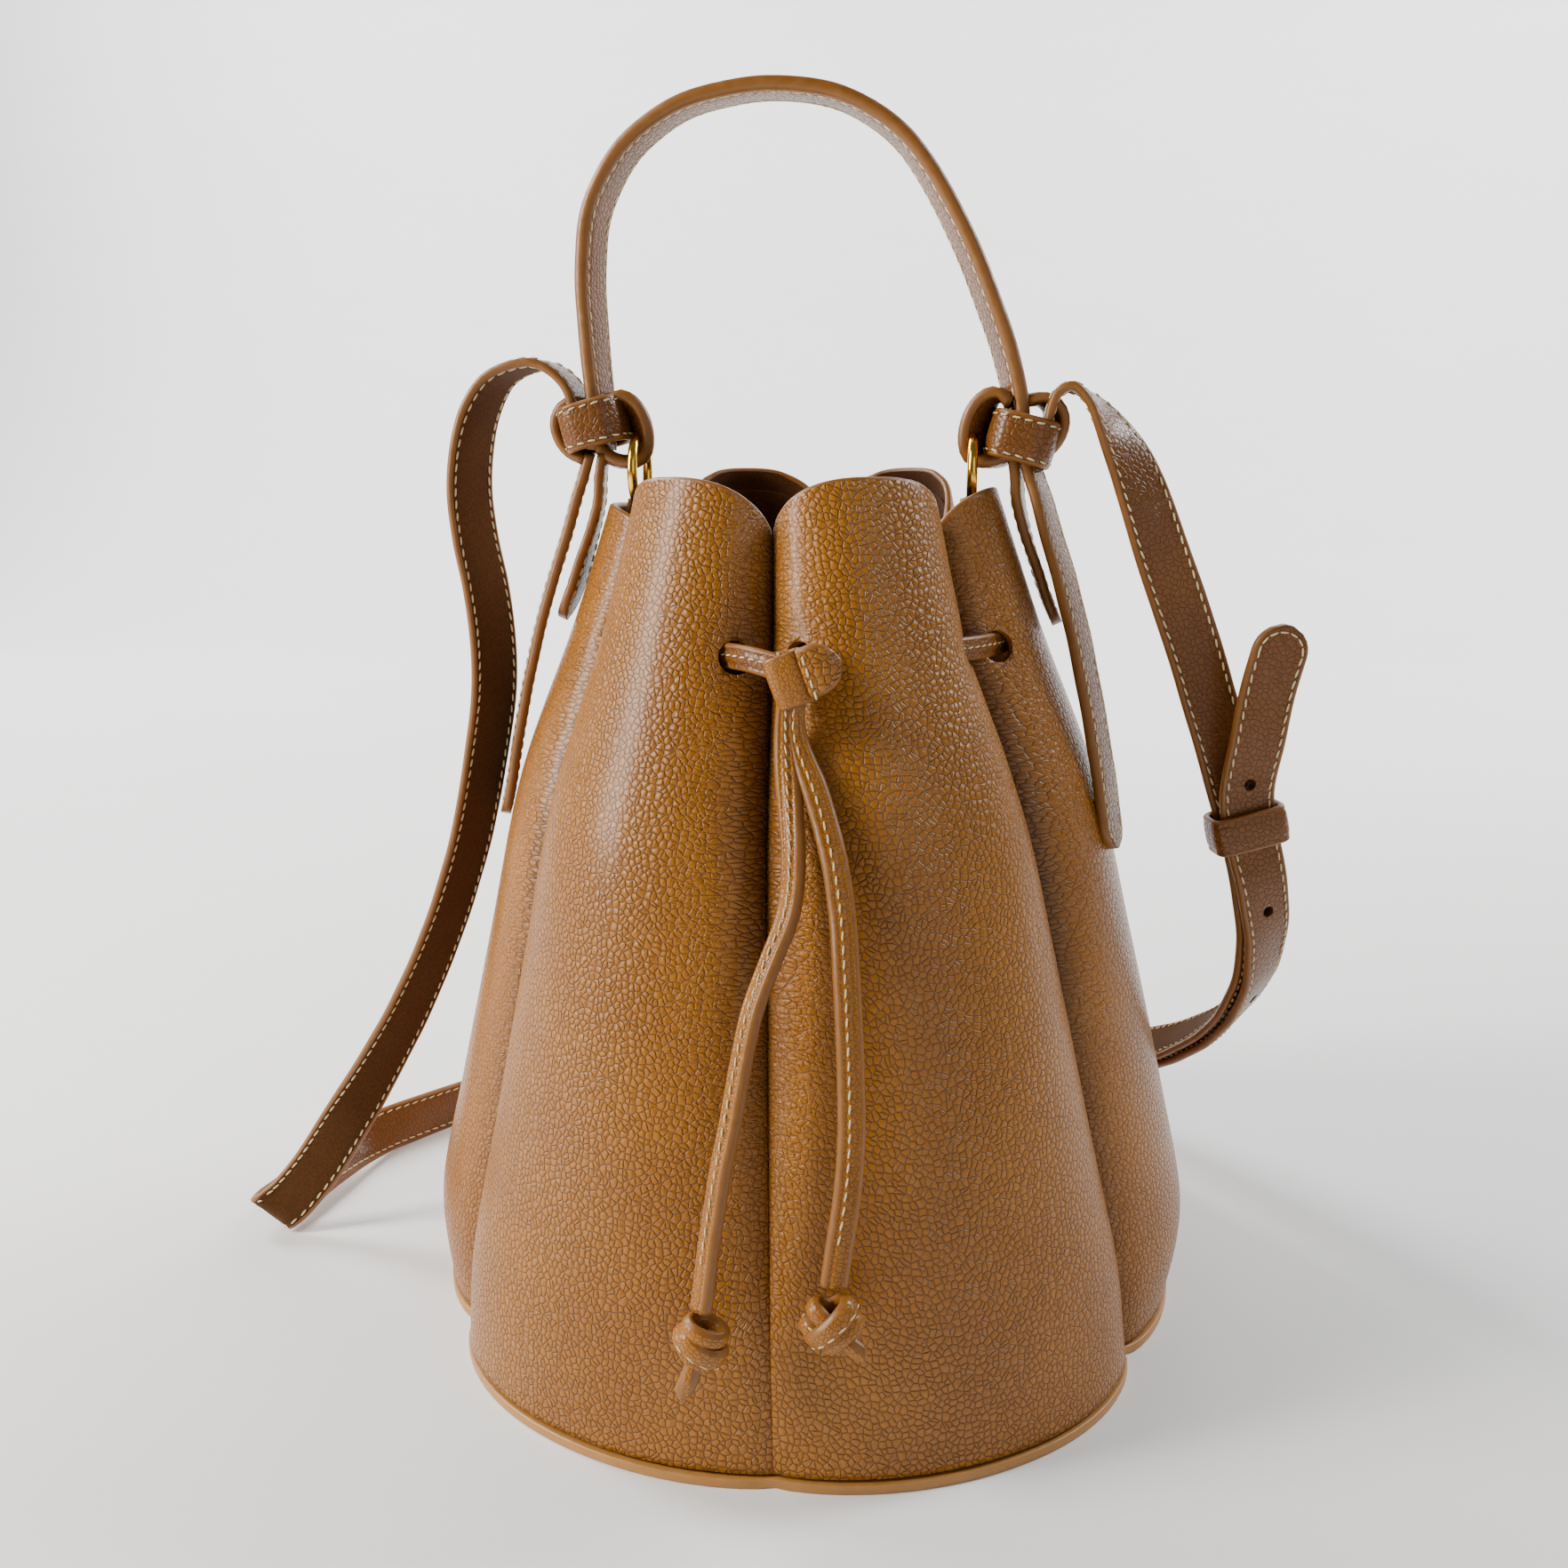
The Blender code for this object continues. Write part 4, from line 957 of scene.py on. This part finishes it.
OVERLAP_ROUTE = (
    (66.5, 115.8, 21.4, 0.1, 0.2, 0.95), (89, 98, 28, 0.25, 0.45, 0.85),
    (107, 76, 38, 0.35, 0.65, 0.65), (121.5, 54, 52, 0.45, 0.75, 0.45),
    (131, 33, 69, 0.55, 0.75, 0.3), (135, 16, 88, 0.65, 0.7, 0.2), (134.8, 5, 106, 0.78, 0.52, 0.2),
    (131.8, -1, 122, 0.88, 0.35, 0.25), (128, -2, 137, 0.93, 0.25, 0.3))
SHORT_UPPER_ROUTE = (
    (123.4, -2, 151, 0.93, 0.2, 0.35), (119.2, -2, 164, 0.93, 0.2, 0.37),
    (114.8, -2, 176.7, 0.93, 0.2, 0.37), (109.6, -2, 191.8, 0.93, 0.2, 0.37),
    (103.9, -2, 206.7, 0.92, 0.2, 0.37), (98.4, -1.5, 221.5, 0.9, 0.3, 0.36),
    (93.4, -1, 235.5, 0.85, 0.45, 0.35), (88.6, -0.5, 246.5, 0.7, 0.65, 0.3),
    (83.6, -0.1, 255.3, 0.45, 0.87, 0.2), (78, 0, 261.9, 0.2, 1, 0.05), (72, 0, 265.3, 0, 1, 0),
    (66.6, 0, 262.6, 0, 1, 0), (64.4, 0, 256.6, 0, 1, 0), (63.8, 0, 249, 0, 1, 0))
TONGUE_TIP_ROUTE = (
    (125, -3.4, 151, 0.95, 0.2, 0.15), (126.4, -6.4, 168, 0.97, 0.2, -0.1),
    (128.4, -7.4, 184, 0.97, 0.2, -0.2), (131.8, -8.4, 200, 0.97, 0.2, -0.25))
# where the strap turns from following the handle to following the bag
LEFT_BEND = (
    (-72 * MM, 0, 262 * MM), (-100 * MM, 0, 205 * MM))
RIGHT_BEND = (
    (70 * MM, 0, 258 * MM), (100 * MM, 0, 212 * MM))
# half the distance between the two lengths where they overlap
HALF_STEP = 1.8 * MM
HOLE_RADIUS = 1.7 * MM


def shoulder_strap(kind, frames, body, nodes, **kw):
    return sewn_strap(f"shoulder_strap_{kind}", frames, 16.0 * MM, 2.5 * MM, SUEDE_OUT, 1.9 * MM,
                      body, nodes, crown=0.12 * MM, waves=0.10 * MM, **kw)


shoulder_strap("long", route_frames(LEFT_ROUTE), "handle",
               ("strap_stub_left", "strap_long_hanging", "strap_long_floor"), bend=LEFT_BEND, seed=5)
shoulder_strap("short", route_frames(OVERLAP_ROUTE[1:] + SHORT_UPPER_ROUTE, shift=HALF_STEP),
               "handle", ("strap_short", "strap_stub_right"), bend=RIGHT_BEND, seed=6)
tongue_frames = route_frames(OVERLAP_ROUTE + TONGUE_TIP_ROUTE, shift=-HALF_STEP)
tongue = shoulder_strap("tongue", tongue_frames, "root", ("strap_tongue",), tip=True,
                        margin=8 * MM, seed=7)
# adjustment holes, at these distances from the tongue's tip
hole_s = tongue_frames.s[-1] - np.array([46, 86, 126, 166]) * MM
hole_places, _, _, hole_axes = tongue_frames.at(hole_s)
punch([tongue], hole_places, hole_axes, HOLE_RADIUS, 9 * MM, 24)

band("keeper_loop", "strap_keeper", "keeper", SUEDE_BACKED, (126.5, -2.2, 141.0), (18.4, 9.6),
     11.0 * MM, 1.5 * MM, (0, math.radians(-14), math.radians(12)), 0.35)
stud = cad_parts["strap_stud"]
stud.data.materials.clear()
stud.data.materials.append(GOLD)


# ---- lace and slider
LACE_RADIUS = 59.0
LACE_DIP = 2.6
LACE_OPENING = math.radians(15)
LACE_WIDTH, LACE_THICK = 6.6 * MM, 2.0 * MM
# the hoop through the eyelets, pulled in at the tight left crease
angles = np.linspace(-math.pi / 2 + LACE_OPENING, 1.5 * math.pi - LACE_OPENING, 60)
tight_angle = 1.5 * math.pi - PETAL_ANGLE + twist(LACE_Z)
radii = LACE_RADIUS - LACE_DIP * np.exp(-((angles - tight_angle) / 0.28) ** 2)
hoop = [(lean(LACE_Z) / MM + r * math.cos(q), r * math.sin(q), LACE_Z / MM, 0, 0, 1)
        for q, r in zip(angles, radii)]
# its ends lie inside the slider
lace_route = [(4.9, -71.5, 193.8, 0, 0.2, 1), (9.0, -68.5, 195.0, 0, 0, 1), *hoop,
              (-8.5, -66.0, 195.2, 0, 0, 1), (0.8, -71.5, 193.6, 0, 0.2, 1)]
lace_frames = route_frames(lace_route, step=1.2 * MM)
place(strap("drawstring_round_neck", lace_frames, LACE_WIDTH, LACE_THICK, BOTH_FACES,
            crown=0.25 * MM, corner=0.9 * MM, inset=1.6 * MM), "root",
      ("drawstring_lace",))
place(stitch_rows("drawstring_stitches", lace_frames, [(0.4 * MM, 1.28 * MM), (0.4 * MM, -1.28 * MM)],
                  **LACE_STITCHES), "root")

SLIDER = (3.0, -74.2, 191.5)
SLIDER_TILT = (0, math.radians(-20), 0)
band("slider_loop", "slider_band", "slider", [SMOOTH_LEATHER, EDGE, SUEDE], SLIDER, (6.6, 6.8),
     13.0 * MM, 1.5 * MM, SLIDER_TILT, 0.6, crown=0.3 * MM)


def slider_frames(points, wide):
    """Frames through points in the slider's own tilted axes, in millimetres from its centre."""
    spin = np.array(Euler(SLIDER_TILT).to_matrix())
    return route_frames([(*(np.array(SLIDER) + spin @ np.array(point)), *(spin @ np.array(wide)))
                         for point in points], step=0.6 * MM)


tab_frames = slider_frames(((4.2, -3.5, 0.4), (7.0, -3.9, 0.4), (10.0, -3.5, 0.4),
                            (13.0, -2.3, 0.4)), (0, 0, 1.0))
place(strap("slider_tongue", tab_frames, 12.6 * MM, 2.8 * MM, [LEATHER, EDGE, LEATHER],
            round_ends=(False, True), crown=0.3 * MM, groove=0.0, corner=1.2 * MM),
      "slider", ("slider_tab",))
seam_frames = slider_frames(((5.3, -5.4, -6.4), (5.3, -5.5, 0.0), (5.3, -5.4, 6.4)), (1.0, 0, 0))
place(stitch_rows("slider_tongue_stitches", seam_frames, [(0.0, 0.0)], margin=1.2 * MM,
                  pitch=2.9 * MM, length=2.2 * MM), "slider")


# ---- floor, backdrop and light
FLOOR_REACH = 5.0
SWEEP_START, SWEEP_RADIUS = 1.6, 1.0
BACKDROP_TOP = 4.0
WORLD_STRENGTH = 0.14
BACKDROP_AIM = (0, 2.4, 0.6)
BACKDROP_POWER = 95.0


def make_floor():
    """Floor and backdrop in one sheet, with a curved sweep between them."""
    n = Nodes("floor_paper")
    grain = n.add("TexNoise", Scale=60.0, Detail=4.0).outputs["Fac"]
    n.fill(n.shader, Roughness=0.7, Base_Color=n.mix(grain, (0.83,) * 3, (0.87,) * 3))
    profile = [(-FLOOR_REACH, 0.0)]
    profile += [(SWEEP_START + SWEEP_RADIUS * math.sin(q), SWEEP_RADIUS - SWEEP_RADIUS * math.cos(q))
                for q in np.linspace(0, math.pi / 2, 17)]
    profile += [(SWEEP_START + SWEEP_RADIUS, BACKDROP_TOP)]
    verts = [(x, y, z) for y, z in profile for x in (-FLOOR_REACH, FLOOR_REACH)]
    faces = [(2 * i, 2 * i + 1, 2 * i + 3, 2 * i + 2) for i in range(len(profile) - 1)]
    add_object("floor", verts, faces, [n.mat])


def area_light(name, where, size, power, colour=(1, 1, 1), aim=(0, 0, 0.14)):
    data = bpy.data.lights.new(name, "AREA")
    data.shape = "RECTANGLE"
    data.size, data.size_y = size
    data.energy = power
    data.color = colour
    light = link(bpy.data.objects.new(name, data))
    light.location = where
    light.rotation_euler = (Vector(aim) - Vector(where)).to_track_quat("-Z", "Y").to_euler()


def make_world():
    world = bpy.data.worlds.new("studio")
    world.use_nodes = True
    background = world.node_tree.nodes["Background"]
    background.inputs["Color"].default_value = (1, 1, 1, 1)
    background.inputs["Strength"].default_value = WORLD_STRENGTH
    bpy.context.scene.world = world


make_floor()
make_world()
area_light("window", (-1.15, -0.45, 0.75), (0.35, 0.9), power=34.0, colour=(1.0, 0.96, 0.89))
area_light("fill", (0.7, -0.9, 0.5), (0.8, 0.8), power=2.0)
for side, name in ((-1, "left"), (1, "right")):
    area_light(f"backdrop_{name}", (side * 1.6, 0.9, 1.6), (1.2, 1.2), BACKDROP_POWER,
               aim=BACKDROP_AIM)
